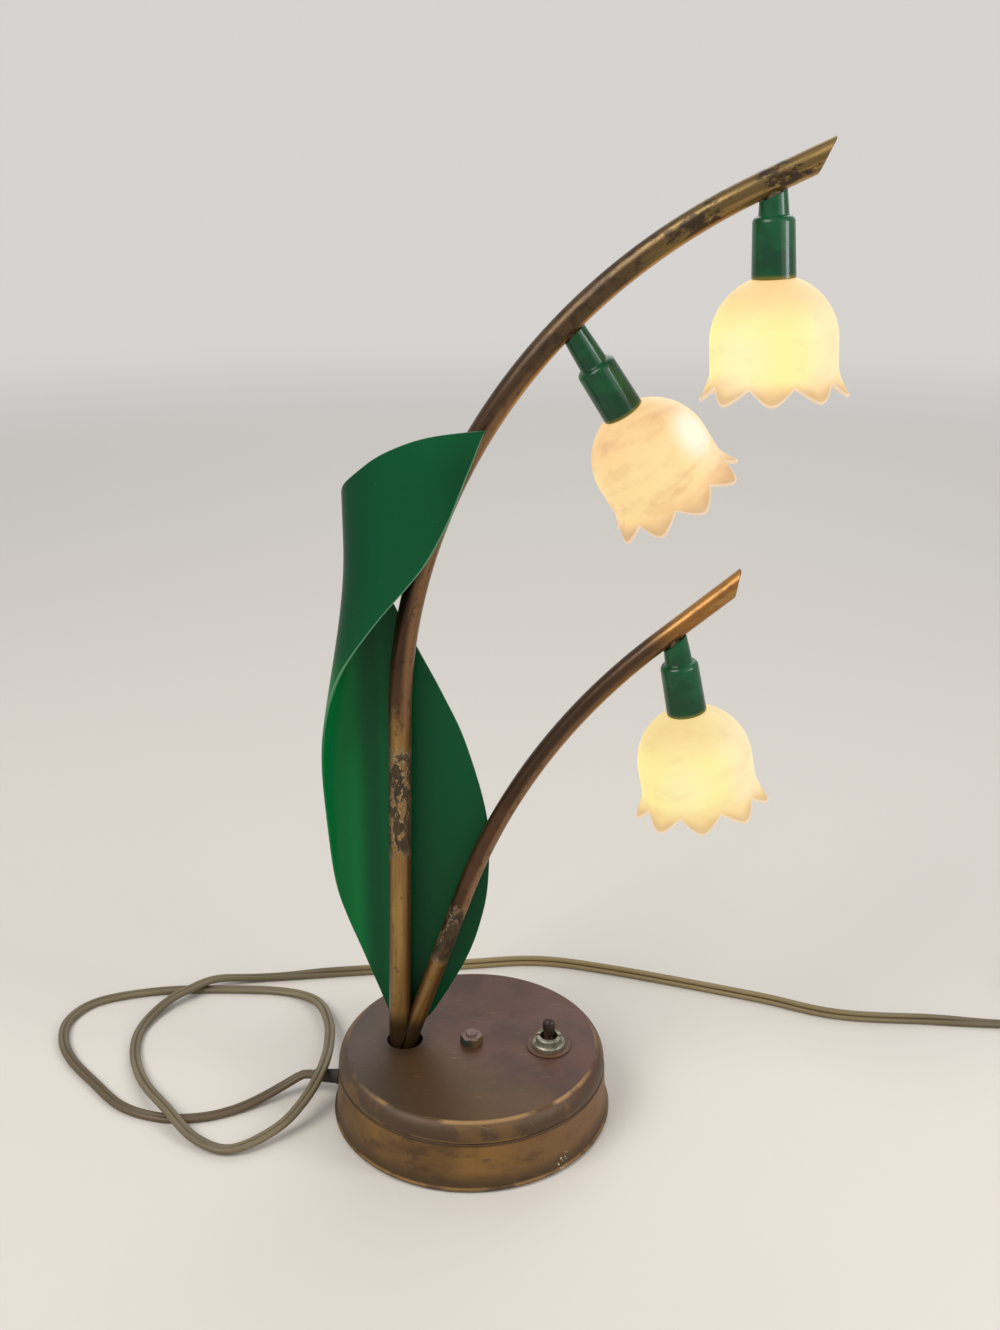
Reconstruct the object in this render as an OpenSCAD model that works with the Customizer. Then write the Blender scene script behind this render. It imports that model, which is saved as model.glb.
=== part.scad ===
// Table lamp: lily-of-the-valley stems with three glass bells over a round metal base.
// Millimetres, +Z up. The origin is the middle of the base on the table; +X runs from stems to switch.

/* [Base] */
// Diameter of the rolled rim on the table
base_d = 155; // [151:0.5:162]
// Height of the lid's flat top over the table
base_h = 39.2; // [37:0.2:44]
// Diameter of the lid's upright wall
lid_d = 148.2; // [146:0.2:149]
// How far the lid's shoulder comes in from its wall to the crisp top edge
shoulder_in = 4.5; // [3:0.1:7]
// How far the shoulder drops from the top edge to the wall
shoulder_drop = 8.2; // [6:0.1:9]
// Height of the seam between skirt and lid
seam_h = 28.4; // [27:0.1:29]
// Sheet thickness of lid and skirt
sheet_t = 1.2; // [0.8:0.1:1.6]
// Radius of the rolled rim's bead
rim_bead_r = 1; // [0.8:0.05:1.2]
// Thickness of the felt pad
felt_t = 1.6; // [1:0.1:2.5]
// Thickness of the bottom plate
plate_t = 1.5; // [1:0.1:2]
// Thickness of the cast counterweight
weight_t = 9; // [8:0.25:10.5]
// Diameter of the cast counterweight
weight_d = 136; // [130:0.5:137]

/* [Stems] */
// Distance of the long stem's foot from the middle of the base
stem_x = 40.9; // [39:0.1:43]
// Outer diameter of the long stem
long_od = 12; // [11.5:0.1:12.5]
// Outer diameter of the short stem
short_od = 10; // [9:0.1:10.5]
// Wall of both stem tubes
tube_t = 1; // [0.8:0.05:1.3]
// Lean of the long stem's straight run, from upright
long_lean = 1.37; // [0:0.1:2.5]
// Straight run of the long stem below its bend
long_run = 223.6; // [210:0.5:240]
// Radius of the long stem's bend
long_bend_r = 292; // [270:1:310]
// Heading of the long stem's tip, from upright
long_tip_a = 64.98; // [60:0.5:70]
// Straight tail at the tip of the long stem
long_tail = 30; // [24:0.5:40]
// Lean of the short stem where it leaves the long one, from upright
short_lean = 18.86; // [17:0.25:21]
// Straight run of the short stem, from lid height
short_run = 100.8; // [90:1:110]
// Radius of the short stem's bend
short_bend_r = 328; // [300:1:350]
// Heading of the short stem's tip, from upright
short_tip_a = 49.58; // [46:0.5:53]
// Straight tail at the tip of the short stem
short_tail = 48.5; // [42:0.5:56]
// Angle of the slanting cut across both tips
tip_cut_a = 42; // [38:1:60]

/* [Leaf] */
// Thickness of the leaf's sheet
leaf_t = 1.2; // [0.8:0.1:1.6]
// Width of the tang that goes down through the lid
tang_w = 8.5; // [7:0.25:9]
// Radius of the leaf's forward curl
curl_r = 14; // [12.5:0.25:15]
// Angle of the curl
curl_a = 186; // [184:0.5:188]
// How far the leaf stands behind the stems' plane at mid height
leaf_back = 9.5; // [9:0.1:11]
// How far the right margin is dished forward
leaf_dish = 2.2; // [0:0.1:2.6]

/* [Flowers] */
// Distance of the top flower from the long stem's tip end
top_from_tip = 24.7; // [22:0.5:28]
// Distance of the middle flower from the long stem's tip end
mid_from_tip = 135.4; // [128:1:142]
// Distance of the low flower from the short stem's tip end
low_from_tip = 39.2; // [36:0.5:43]
// Neck of the top flower, from the stem's axis to the shoulder
top_neck = 15.1; // [13:0.1:18]
// Neck of the middle flower
mid_neck = 23.3; // [21:0.1:26]
// Neck of the low flower
low_neck = 16.7; // [14.5:0.1:19]
// Tilt of the top flower towards the tip side
top_tilt = 3.5; // [0:0.5:8]
// Tilt of the middle flower
mid_tilt = 32.4; // [28:0.5:36]
// Tilt of the low flower
low_tilt = 11; // [7:0.5:15]
// Length of a cover's tube below its shoulder
cover_l = 27.25; // [25.5:0.25:30]
// Outer diameter of a cover's tube at its shoulder
cover_d = 19.2; // [19.1:0.05:20.2]
// Outer diameter of a cover's tube at its lower edge
cover_low_d = 20.2; // [19.2:0.1:20.6]
// Diameter of a cover's neck at the stem
neck_d = 11.7; // [11.4:0.1:12.6]
// Diameter of a cover's neck at the shoulder
neck_low_d = 13.8; // [12.8:0.1:14.2]
// Height of a shade, from the cover's edge to the petal tips
shade_h = 53; // [50:0.5:57]
// Diameter of a shade's dome
shade_d = 58.6; // [56:0.2:61]
// Diameter over a shade's petal tips
petal_d = 68; // [65:0.5:72]
// Wall of a shade
shade_t = 2.2; // [1.8:0.1:2.6]
// Wall of a shade at its petal tips
hem_t = 1.3; // [1:0.1:2.2]
// Number of petals on a shade
petals = 9; // [7:1:11]
// Depth of the notches between petals
notch = 7; // [5.5:0.1:9]

/* [Sockets and bulbs] */
// Outer diameter of a socket body inside its cover
socket_d = 17.6; // [17.2:0.1:17.8]
// Diameter of the socket's threaded end that carries the shade
thread_d = 16; // [15.8:0.1:16.4]
// Bore of the socket
socket_bore = 14.2; // [14:0.1:14.4]
// Outer diameter of a shade ring
ring_d = 24; // [22:0.5:26]
// Height of a shade ring
ring_h = 4; // [3:0.25:5]
// Diameter of the threaded nipple between stem and socket
nipple_d = 8; // [7:0.1:8.4]
// Diameter of a bulb's cap
cap_d = 13.6; // [13.2:0.1:13.7]
// Diameter of a bulb's glass
bulb_d = 20; // [18:0.25:22]
// Lowest point of a bulb below the cover's edge
bulb_end = 42; // [38:0.5:44]

/* [Switch] */
// Distance of the switch from the middle of the base
switch_x = 43.2; // [41:0.25:46]
// Diameter of the switch's bushing
bushing_d = 12; // [11.5:0.1:12.4]
// Hole of the bushing around the lever
bushing_bore = 9.8; // [9.6:0.05:10]
// Diameter of the washer on the lid
washer_d = 24.4; // [22:0.2:26]
// Diameter of the ring nut's foot
ring_nut_d = 18.1; // [17:0.1:20]
// Diameter of the ring nut's collar
collar_d = 14.3; // [14:0.1:15]
// Height of the ring nut
ring_nut_h = 6; // [5.4:0.1:6.6]
// How far the lever's head stands over the ring nut
lever_rise = 9.5; // [8:0.25:11]
// Diameter of the lever's head
lever_head_d = 6.9; // [6.5:0.1:7.4]
// Diameter of the lever's neck
lever_neck_d = 6; // [5:0.1:6.2]
// Diameter of the lever's pivot pin
pin_d = 1.6; // [1.4:0.1:1.8]
// Lean of the lever to each side of upright
lever_lean = 12; // [9:0.5:13]

/* [Fasteners in the base] */
// Diameter of the centre bolt
bolt_d = 6; // [5:0.25:6.25]
// Width across the centre nut's flats
nut_af = 11; // [10:0.25:12]
// Height of the centre nut
nut_h = 5; // [4:0.25:6]
// Diameter of the spacer tube round the bolt
spacer_d = 10; // [9:0.25:11]
// Diameter of the boss that holds the long stem
boss_d = 22; // [20:0.5:23]
// Height of the boss over the table
boss_top = 25; // [22:0.5:26]
// Diameter of the set screw in the boss
set_screw_d = 4; // [3:0.25:5]

/* [Cord] */
// Width of the flat twin cord
cord_w = 6.4; // [6:0.1:6.8]
// Thickness of the flat twin cord
cord_t = 3.4; // [3:0.1:3.6]
// Height of the cord's exit over the table
exit_h = 12; // [11.5:0.25:14]
// Visible length of the strain relief
relief_l = 15; // [12:0.5:18]
// Diameter of the strain relief at the skirt
relief_d = 8; // [7.6:0.1:8.6]

/* [Hidden] */
$fn = 64;

// Clearances: pieces that only seat, threads and sliding sleeves, and the lever's running fit
seat = 0.3;
thread_fit = 0.1;
run_fit = 0.02;
eps = 0.01;

// Heights in the base, from the table up
plate_z = felt_t;
weight_z = plate_z + plate_t;
weight_top = weight_z + weight_t;
lid_under = base_h - sheet_t;
shoulder_r = (shoulder_in * shoulder_in + shoulder_drop * shoulder_drop) / (2 * shoulder_in);
shoulder_a = asin(shoulder_drop / shoulder_r);
rim_z = 0.8 + rim_bead_r;
// How far the strain relief reaches in from the skirt's face: the wall, play, its flange and its sleeve
relief_clear = 0.8;
relief_flange_t = 2;
relief_sleeve_l = 1.5;
relief_back = sheet_t + relief_clear + relief_flange_t + relief_sleeve_l;
// Skirt and lid swell where the weight and the relief behind the wall need more room than their own sizes give
skirt_proud = 0.4;
weight_clear = 0.7;
wall_share = pow((seam_h - exit_h) / (seam_h - rim_z), 2);
plain_wall = (lid_d / 2 + skirt_proud) * (1 - wall_share) + (base_d / 2 - rim_bead_r) * wall_share;
swell = max(0, weight_d / 2 + weight_clear + relief_back - plain_wall);
lid_r = lid_d / 2 + swell;
rim_r = base_d / 2 + swell;
skirt_r = lid_r + skirt_proud;
skirt_round = 1.2;
rim_x = rim_r - rim_bead_r;
skirt_inner_rim = rim_x - sheet_t;
flange_in = 8;

// The stems as turtle walks in the plane y = 0: each leg is [length, 0] or [radius, angle]
stem_seat_z = weight_top + 1.9;
cut_spare = 12;
cut_block = 60;
long_start = [-stem_x, stem_seat_z, long_lean];
long_legs = [
    [long_run, 0],
    [long_bend_r, long_tip_a - long_lean],
    [long_tail, 0]
];
short_offset = 5.8;
short_start = [-stem_x + short_offset, base_h + 0.8, short_lean];
short_legs = [
    [short_run, 0],
    [short_bend_r, short_tip_a - short_lean],
    [short_tail, 0]
];
// Legs stop short of their joints, and a disc a hair wider than the bar joins them
joint_gap = 0.3;
joint_step = 0.06;
short_sink = 14;
long_l = walk_length(long_legs);
short_l = walk_length(short_legs);
stem_hole_d = 20;
stem_hole_x = -stem_x + 3.4;
wire_hole_d = 6;
wire_hole_at = boss_top + 5.2 - stem_seat_z;
wire_hole = along(long_start, long_legs, wire_hole_at);

// Flowers: [stem, distance along it, neck, tilt, lean to the back, turn of the petals]
TOP = ["long", long_l - top_from_tip, top_neck, top_tilt, -1.5, -17];
MID = ["long", long_l - mid_from_tip, mid_neck, mid_tilt, 8.4, 8.5];
LOW = ["short", short_l - low_from_tip, low_neck, low_tilt, 1.65, -12];

// Sockets, measured as depth below the cover's lower edge
cover_t = 0.6;
cover_round = 3;
socket_top_d = -22;
socket_floor = 4;
socket_end = 9;
shade_hole_d = thread_d + 2 * seat;
shade_seat_r = 10.4;
dome_r = shade_d / 2;
dome_depth = seat + sqrt(dome_r * dome_r - shade_seat_r * shade_seat_r);
flare_from = shade_h - 12;
ring_top = seat + shade_t + 0.8;
cap_top = -16;
cap_end = 10;
glass_t = 0.8;
bulb_mid = 25;
nipple_wall = 1.25;

// Leaf
tang_end = boss_top - 7;
tang_z = base_h - 1.2;
leaf_foot_y = long_od / 2 + 0.15 + leaf_t / 2;
leaf_x = -stem_x + 0.9;
// The sheet goes back behind the stems from this height, over this rise
leaf_bend_z = 45;
leaf_bend_rise = 75;
// Distance of the curl from the stem's line at its low and high end, and where it comes in
curl_low_out = 37.5;
curl_high_out = 20;
curl_from_z = 190;
curl_rise = 140;
curl_low_x = leaf_x - curl_low_out;
curl_high_x = leaf_x - curl_high_out;

// Switch
washer_t = 0.8;
nut_z = base_h + washer_t;
collar_top = nut_z + ring_nut_h;
nut_foot_h = 2.6;
collar_lip = 1.4;
pivot_z = collar_top - 6;
body_top = lid_under - 7;
body_w = 20;
body_deep = 16;
body_h = 16;
lock_nut_h = 2.2;
ball_d = bushing_bore - 0.4;
lever_l = collar_top + lever_rise - pivot_z;
tail_l = 9;
tail_d = 3.5;

// Terminal block and clamp
block = [24, 16, 12];
block_at = [4, -36];
clamp_room = 4.75;
clamp_x = -skirt_out(exit_h) + relief_back + clamp_room;
clamp_screw_y = 7.7;
screw_d = 3;
strip = 1;

function walk_length(legs) = len(legs) == 0 ? 0
    : leg_length(legs[0]) + walk_length([for (i = [1:1:len(legs) - 1]) legs[i]]);
function leg_length(leg) = leg[1] == 0 ? leg[0] : leg[0] * leg[1] * PI / 180;
// Where a walk is after one leg, as [x, z, heading]
function step(p, leg) = leg[1] == 0
    ? [p[0] + leg[0] * sin(p[2]), p[1] + leg[0] * cos(p[2]), p[2]]
    : let (h = p[2] + leg[1])
      [p[0] + leg[0] * (cos(p[2]) - cos(h)), p[1] + leg[0] * (sin(h) - sin(p[2])), h];
function after(p, legs, n) = n == 0 ? p : step(after(p, legs, n - 1), legs[n - 1]);
function partial(leg, d) = leg[1] == 0 ? [d, 0] : [leg[0], d / leg[0] * 180 / PI];
function along(p, legs, d, i = 0) =
    let (l = leg_length(legs[i]))
    d <= l || i == len(legs) - 1 ? step(p, partial(legs[i], d)) : along(step(p, legs[i]), legs, d - l, i + 1);

function on_stem(f) = f[0] == "long"
    ? along(long_start, long_legs, f[1])
    : along(short_start, short_legs, f[1]);
function arc(cx, cy, r, a0, a1, n) =
    [for (i = [0:n]) let (a = a0 + (a1 - a0) * i / n) [cx + r * cos(a), cy + r * sin(a)]];
function smooth(t) = let (c = min(max(t, 0), 1)) c * c * (3 - 2 * c);
function reversed(v) = [for (i = [len(v) - 1:-1:0]) v[i]];

// One leg of a round bar that follows a walk, cut back at its two ends
module leg_bar(p, leg, d, cut0, cut1) {
    if (leg[1] == 0)
        translate([p[0], 0, p[1]]) rotate([0, p[2], 0]) translate([0, 0, cut0])
            cylinder(d = d, h = leg[0] - cut0 - cut1);
    else {
        a0 = cut0 / leg[0] * 180 / PI;
        a1 = cut1 / leg[0] * 180 / PI;
        translate([p[0] + leg[0] * cos(p[2]), 0, p[1] - leg[0] * sin(p[2])])
            rotate([90, 0, 0]) rotate([0, 0, 180 - p[2] - leg[1] + a1])
                rotate_extrude(angle = leg[1] - a0 - a1, $fn = 240) translate([leg[0], 0])
                    circle(d = d, $fn = 48);
    }
}
module walk_bar(p, legs, d) {
    last = len(legs) - 1;
    for (i = [0:last])
        leg_bar(after(p, legs, i), legs[i], d, i > 0 ? joint_gap : 0, i < last ? joint_gap : 0);
    for (i = [1:1:last]) stem_at(after(p, legs, i), d + joint_step, 4 * joint_gap);
}
module stem_at(s, d, l) {
    translate([s[0], 0, s[1]]) rotate([0, s[2], 0]) translate([0, 0, -l / 2]) cylinder(d = d, h = l);
}
// Everything beyond the slanting cut at a stem's tip
module tip_cut(s) {
    translate([s[0], 0, s[1]]) rotate([0, s[2] - tip_cut_a, 0]) translate([0, -cut_block / 2, -cut_block / 2]) cube(cut_block);
}
function longer(legs, spare) = [for (i = [0:len(legs) - 1])
    i == len(legs) - 1 ? [legs[i][0] + spare, 0] : legs[i]];

module base_lid() {
    t = sheet_t;
    cz = base_h - shoulder_drop;
    color([0.36, 0.20, 0.13]) difference() {
        rotate_extrude($fn = 128) polygon(concat(
            [[0, base_h]],
            reversed(arc(lid_r - shoulder_r, cz, shoulder_r, 0, shoulder_a, 8)),
            [[lid_r, seam_h + 0.2], [lid_r - t, seam_h + 0.2]],
            arc(lid_r - shoulder_r, cz, shoulder_r - t, 0, asin((shoulder_drop - t) / (shoulder_r - t)), 8),
            [[0, lid_under]]
        ));
        translate([stem_hole_x, 0, lid_under - 1]) cylinder(d = stem_hole_d, h = sheet_t + 2);
        translate([0, 0, lid_under - 1]) cylinder(d = bolt_d + 0.4, h = sheet_t + 2);
        translate([switch_x, 0, lid_under - 1]) cylinder(d = bushing_d + 0.2, h = sheet_t + 2);
    }
}

// The skirt's outer radius at height z: upright at the seam, flaring to the rim
function skirt_out(z) = skirt_r + (rim_x - skirt_r) * pow((seam_h - z) / (seam_h - rim_z), 2);

module base_skirt() {
    steps = 7;
    z_top = seam_h - skirt_round;
    heights = [for (i = [0:steps]) z_top + (rim_z - z_top) * i / steps];
    flange_z = weight_z;
    color([0.55, 0.38, 0.14]) difference() {
        union() {
            rotate_extrude($fn = 128) polygon(concat(
                [[skirt_r - flange_in, seam_h], [skirt_r - skirt_round, seam_h]],
                reversed(arc(skirt_r - skirt_round, z_top, skirt_round, 0, 60, 4)),
                [for (z = heights) [skirt_out(z), z]],
                reversed([for (z = heights) if (z < seam_h - sheet_t) [skirt_out(z) - sheet_t, z]]),
                [[skirt_r - sheet_t, seam_h - sheet_t], [skirt_r - flange_in, seam_h - sheet_t]]
            ));
            rotate_extrude($fn = 128) translate([rim_x, rim_z]) circle(r = rim_bead_r, $fn = 24);
            translate([0, 0, flange_z]) difference() {
                cylinder(r = skirt_out(flange_z) - sheet_t / 2, h = sheet_t, $fn = 128);
                translate([0, 0, -1]) cylinder(r = weight_d / 2 + 1, h = sheet_t + 2, $fn = 128);
            }
        }
        translate([-skirt_out(exit_h) - 3, 0, exit_h]) rotate([0, 90, 0]) cylinder(d = relief_d + 2 * seat, h = 8);
    }
}

// Countersink and clearance hole for the centre bolt
module bolt_hole() {
    translate([0, 0, plate_z - eps]) cylinder(d1 = 2 * bolt_d + 0.6, d2 = bolt_d + 0.6, h = bolt_d / 2);
    translate([0, 0, plate_z]) cylinder(d = bolt_d + 0.6, h = weight_t + plate_t + 2);
}

module bottom_plate() {
    color([0.45, 0.44, 0.42]) difference() {
        translate([0, 0, plate_z]) cylinder(r = skirt_inner_rim - 1, h = plate_t - 0.05, $fn = 128);
        bolt_hole();
    }
}

module felt_pad() {
    color([0.20, 0.26, 0.18]) cylinder(r = skirt_inner_rim - 1.5, h = felt_t - 0.05, $fn = 128);
}

module counterweight() {
    notch_w = cord_w + 4;
    notch_l = 15;
    notch_floor = exit_h - cord_t / 2 - seat;
    color([0.22, 0.22, 0.23]) difference() {
        union() {
            translate([0, 0, weight_z]) cylinder(d = weight_d, h = weight_t, $fn = 128);
            translate([-stem_x, 0, weight_top - 1]) cylinder(d = boss_d, h = boss_top - weight_top + 1);
        }
        bolt_hole();
        translate([-stem_x, 0, stem_seat_z]) rotate([0, long_lean, 0])
            cylinder(d = long_od + 2 * thread_fit, h = boss_top);
        translate([-stem_x - boss_d, 0, (stem_seat_z + boss_top) / 2]) rotate([0, 90, 0])
            cylinder(d = set_screw_d + 2 * thread_fit, h = boss_d);
        translate([tang_x - tang_w / 2 - seat, leaf_foot_y - leaf_t / 2 - 0.1, tang_end - seat])
            cube([tang_w + 2 * seat, leaf_t + 0.4, boss_top]);
        translate([-weight_d / 2 - 1, -notch_w / 2, notch_floor]) cube([notch_l + 1, notch_w, weight_t]);
    }
}

module centre_bolt() {
    bolt_top = base_h + nut_h + 2;
    color([0.62, 0.60, 0.52]) difference() {
        union() {
            translate([0, 0, plate_z + 0.05]) cylinder(d1 = 2 * bolt_d, d2 = bolt_d, h = bolt_d / 2);
            translate([0, 0, plate_z + 1]) cylinder(d = bolt_d, h = bolt_top - plate_z - 1.5);
            translate([0, 0, bolt_top - 0.5 - eps]) cylinder(d1 = bolt_d, d2 = bolt_d - 1, h = 0.5);
        }
        translate([-bolt_d, -0.6, plate_z - 0.2]) cube([2 * bolt_d, 1.2, 1.4]);
    }
}

module bolt_spacer() {
    color([0.60, 0.60, 0.58]) translate([0, 0, weight_top]) difference() {
        cylinder(d = spacer_d, h = lid_under - weight_top);
        translate([0, 0, -1]) cylinder(d = bolt_d + 0.6, h = lid_under);
    }
}

module centre_nut() {
    across = nut_af / cos(30);
    color([0.52, 0.47, 0.40]) translate([0, 0, base_h]) difference() {
        intersection() {
            cylinder(d = across, h = nut_h, $fn = 6);
            union() {
                cylinder(d = across + 1, h = nut_h - 1);
                translate([0, 0, nut_h - 1 - eps]) cylinder(d1 = across + 0.6, d2 = nut_af - 0.6, h = 1);
            }
        }
        translate([0, 0, -1]) cylinder(d = bolt_d + 2 * thread_fit, h = nut_h + 2);
    }
}

module stem_set_screw() {
    l = (boss_d - long_od) / 2 - 0.5;
    color([0.55, 0.55, 0.55]) translate([-stem_x - long_od / 2 - 0.1, 0, (stem_seat_z + boss_top) / 2])
        rotate([0, -90, 0]) difference() {
            cylinder(d = set_screw_d, h = l);
            translate([-set_screw_d, -0.4, l - 1]) cube([2 * set_screw_d, 0.8, 2]);
        }
}

module long_stem() {
    bore = long_od - 2 * tube_t;
    color([0.52, 0.36, 0.14]) difference() {
        walk_bar(long_start, longer(long_legs, cut_spare), long_od);
        walk_bar(long_start, longer(long_legs, cut_spare + 1), bore);
        stem_at(long_start, bore, 3);
        tip_cut(after(long_start, long_legs, len(long_legs)));
        translate([wire_hole[0], 0, wire_hole[1]]) rotate([90, 0, 0]) cylinder(d = wire_hole_d, h = long_od);
        translate([short_start[0], 0, short_start[1]]) rotate([0, short_lean, 0]) translate([0, 0, 2])
            cylinder(d = short_od - 2 * tube_t, h = 20);
        for (f = [TOP, MID]) at_flower(f) translate([0, 0, -long_od])
            cylinder(d = nipple_d + 2 * thread_fit, h = long_od);
    }
}

module short_stem() {
    saddle_l = 80;
    bore = short_od - 2 * tube_t;
    lean = [sin(short_lean), cos(short_lean)];
    sunk = [short_start[0] - short_sink * lean[0], short_start[1] - short_sink * lean[1], short_lean];
    legs = [for (i = [0:len(short_legs) - 1]) i == 0 ? [short_run + short_sink, 0] : short_legs[i]];
    color([0.50, 0.34, 0.15]) difference() {
        walk_bar(sunk, longer(legs, cut_spare), short_od);
        walk_bar(sunk, longer(legs, cut_spare + 1), bore);
        tip_cut(after(short_start, short_legs, len(short_legs)));
        stem_at(along(long_start, long_legs, saddle_l / 2), long_od + 0.1, saddle_l);
        at_flower(LOW) translate([0, 0, -short_od]) cylinder(d = nipple_d + 2 * thread_fit, h = short_od);
    }
}

long_bundle_d = 3.2;
short_bundle_d = 2.4;
joined_d = 4.4;
joined_l = 20;
lead_d = 2;
// How far a socket's own lead runs down its nipple from the stem's axis
lead_end = 2;

module long_stem_wires() {
    up = wire_hole_at;
    legs = [[long_run - up, 0], long_legs[1], [long_tail - top_from_tip + long_bundle_d / 2, 0]];
    color([0.55, 0.50, 0.32]) union() {
        walk_bar(wire_hole, legs, long_bundle_d);
        translate([wire_hole[0], 0, wire_hole[1]]) rotate([0, long_lean, 0]) cylinder(d = joined_d, h = joined_l);
        translate([wire_hole[0], 0, wire_hole[1]]) sphere(d = joined_d + 0.4);
        translate([wire_hole[0], 0, wire_hole[1]]) rotate([90, 0, 0]) cylinder(d = joined_d, h = long_od / 2 + 3);
        for (f = [TOP, MID]) socket_lead(f);
    }
}

module short_stem_wires() {
    start = 9;
    legs = [[short_run - start, 0], short_legs[1], [short_tail - low_from_tip + short_bundle_d / 2, 0]];
    color([0.55, 0.50, 0.32]) union() {
        walk_bar(along(short_start, short_legs, start), legs, short_bundle_d);
        socket_lead(LOW);
    }
}

// The lead that branches off inside a nipple and ends in the socket's top
module socket_lead(f) {
    end = depth(f, socket_top_d + socket_floor - lead_end);
    at_flower(f) translate([0, 0, end]) cylinder(d = lead_d, h = -end);
}

// A flower's own frame: its origin on the stem's axis, the bell hanging down its -Z
module at_flower(f) {
    s = on_stem(f);
    translate([s[0], 0, s[1]]) rotate([f[4], -f[3], 0]) rotate([0, 0, f[5]]) children();
}
function depth(f, d) = -(f[2] + cover_l + d);
function stem_od(f) = f[0] == "long" ? long_od : short_od;

module cover(f) {
    r = cover_d / 2;
    low_r = cover_low_d / 2;
    shoulder = f[2];
    bottom = shoulder + cover_l;
    floor_z = depth(f, socket_top_d) + 0.6;
    bore = nipple_d / 2 + 0.4;
    stem_touch = 0.1;
    cut = 50;
    s = on_stem(f);
    color([0.02, 0.26, 0.12]) difference() {
        at_flower(f) rotate_extrude() polygon(concat(
            [[bore, 0], [neck_d / 2, 0], [neck_low_d / 2, -shoulder]],
            reversed(arc(r - cover_round, -shoulder - cover_round, cover_round, 0, 90, 5)),
            [[low_r, -bottom], [low_r - cover_t, -bottom], [r - cover_t, floor_z], [bore, floor_z]]
        ));
        // The neck ends flat along the stem's underside
        translate([s[0], 0, s[1]]) rotate([0, s[2], 0])
            translate([stem_od(f) / 2 + stem_touch - cut, -cut / 2, -cut / 2]) cube(cut);
    }
}

module nipple(f) {
    top = stem_od(f) / 2 - tube_t;
    low = -depth(f, socket_top_d + socket_floor);
    color([0.72, 0.58, 0.28]) at_flower(f) difference() {
        translate([0, 0, -low]) cylinder(d = nipple_d, h = low - top);
        translate([0, 0, -low - 1]) cylinder(d = nipple_d - 2 * nipple_wall, h = low + 2);
    }
}

module socket(f) {
    color([0.86, 0.84, 0.78]) at_flower(f) difference() {
        union() {
            translate([0, 0, depth(f, 0)]) cylinder(d = socket_d, h = -socket_top_d);
            translate([0, 0, depth(f, socket_end)]) cylinder(d = thread_d, h = socket_end + 1);
        }
        translate([0, 0, depth(f, socket_end + 1)])
            cylinder(d = socket_bore, h = socket_end + 1 - socket_top_d - socket_floor);
        translate([0, 0, depth(f, 0)]) cylinder(d = nipple_d + 2 * thread_fit, h = 30);
    }
}

module shade_ring(f) {
    color([0.80, 0.72, 0.50]) at_flower(f) translate([0, 0, depth(f, ring_top + ring_h)]) difference() {
        cylinder(d = ring_d, h = ring_h);
        translate([0, 0, -1]) cylinder(d = thread_d + 2 * thread_fit, h = ring_h + 2);
    }
}

// The shade's outer radius at a depth in its flared hem
function hem_r(d) = dome_r + (petal_d / 2 - dome_r) * pow(max(d - flare_from, 0) / (shade_h - flare_from), 1.5);
// The wall thins from the flare's start to the petal tips
function hem_wall(d) = shade_t + (hem_t - shade_t) * max(d - flare_from, 0) / (shade_h - flare_from);
// A petal edge's depth at t, from 0 on the petal's middle to 1 at the notch
function petal_edge(t) = shade_h - notch * pow(t, 1.35);

module shade(f) {
    dome_steps = 9;
    hem_steps = 6;
    over = 1;
    first = asin(shade_seat_r / dome_r);
    inner_r = dome_r - shade_t;
    inner_seat = shade_seat_r + 0.4;
    inner_first = asin(inner_seat / inner_r);
    hem = [for (i = [0:hem_steps]) flare_from + (shade_h + over - flare_from) * i / hem_steps];
    half = petal_d / 2 * tan(180 / petals);
    notch_steps = 6;
    color([0.98, 0.88, 0.68]) at_flower(f) difference() {
        translate([0, 0, depth(f, 0)]) rotate_extrude($fn = 96) polygon(concat(
            [[shade_hole_d / 2, -seat], [shade_seat_r, -seat]],
            [for (i = [1:dome_steps]) let (a = first + (90 - first) * i / dome_steps)
                [dome_r * sin(a), -dome_depth + dome_r * cos(a)]],
            [for (d = hem) [hem_r(d), -d]],
            reversed([for (d = hem) [hem_r(d) - hem_wall(d), -d]]),
            [for (i = [dome_steps:-1:1]) let (a = inner_first + (90 - inner_first) * i / dome_steps)
                [inner_r * sin(a), -dome_depth + inner_r * cos(a)]],
            [[inner_seat, -seat - shade_t], [shade_hole_d / 2, -seat - shade_t]]
        ));
        for (k = [0:petals - 1])
            translate([0, 0, depth(f, 0)]) rotate([0, 0, (k + 0.5) * 360 / petals - 90]) rotate([90, 0, 90])
                translate([0, 0, dome_r - 8]) linear_extrude(height = 20) polygon(concat(
                    [for (i = [-notch_steps:notch_steps]) let (t = i / notch_steps)
                        [half * t, -petal_edge(1 - abs(t))]],
                    [[half, -shade_h - 3], [-half, -shade_h - 3]]
                ));
    }
}

module bulb_cap(f) {
    color([0.78, 0.76, 0.70]) at_flower(f) {
        difference() {
            union() {
                translate([0, 0, depth(f, cap_end)]) cylinder(d = cap_d, h = cap_end - cap_top - 2);
                translate([0, 0, depth(f, cap_top + 2) - eps]) cylinder(d1 = cap_d, d2 = 8, h = 2);
                translate([0, 0, depth(f, cap_top) - eps]) cylinder(d = 4.6, h = 1.2);
            }
            translate([0, 0, depth(f, cap_end + 1)]) cylinder(d = cap_d - 1, h = cap_end - cap_top - 3);
        }
    }
}

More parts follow.
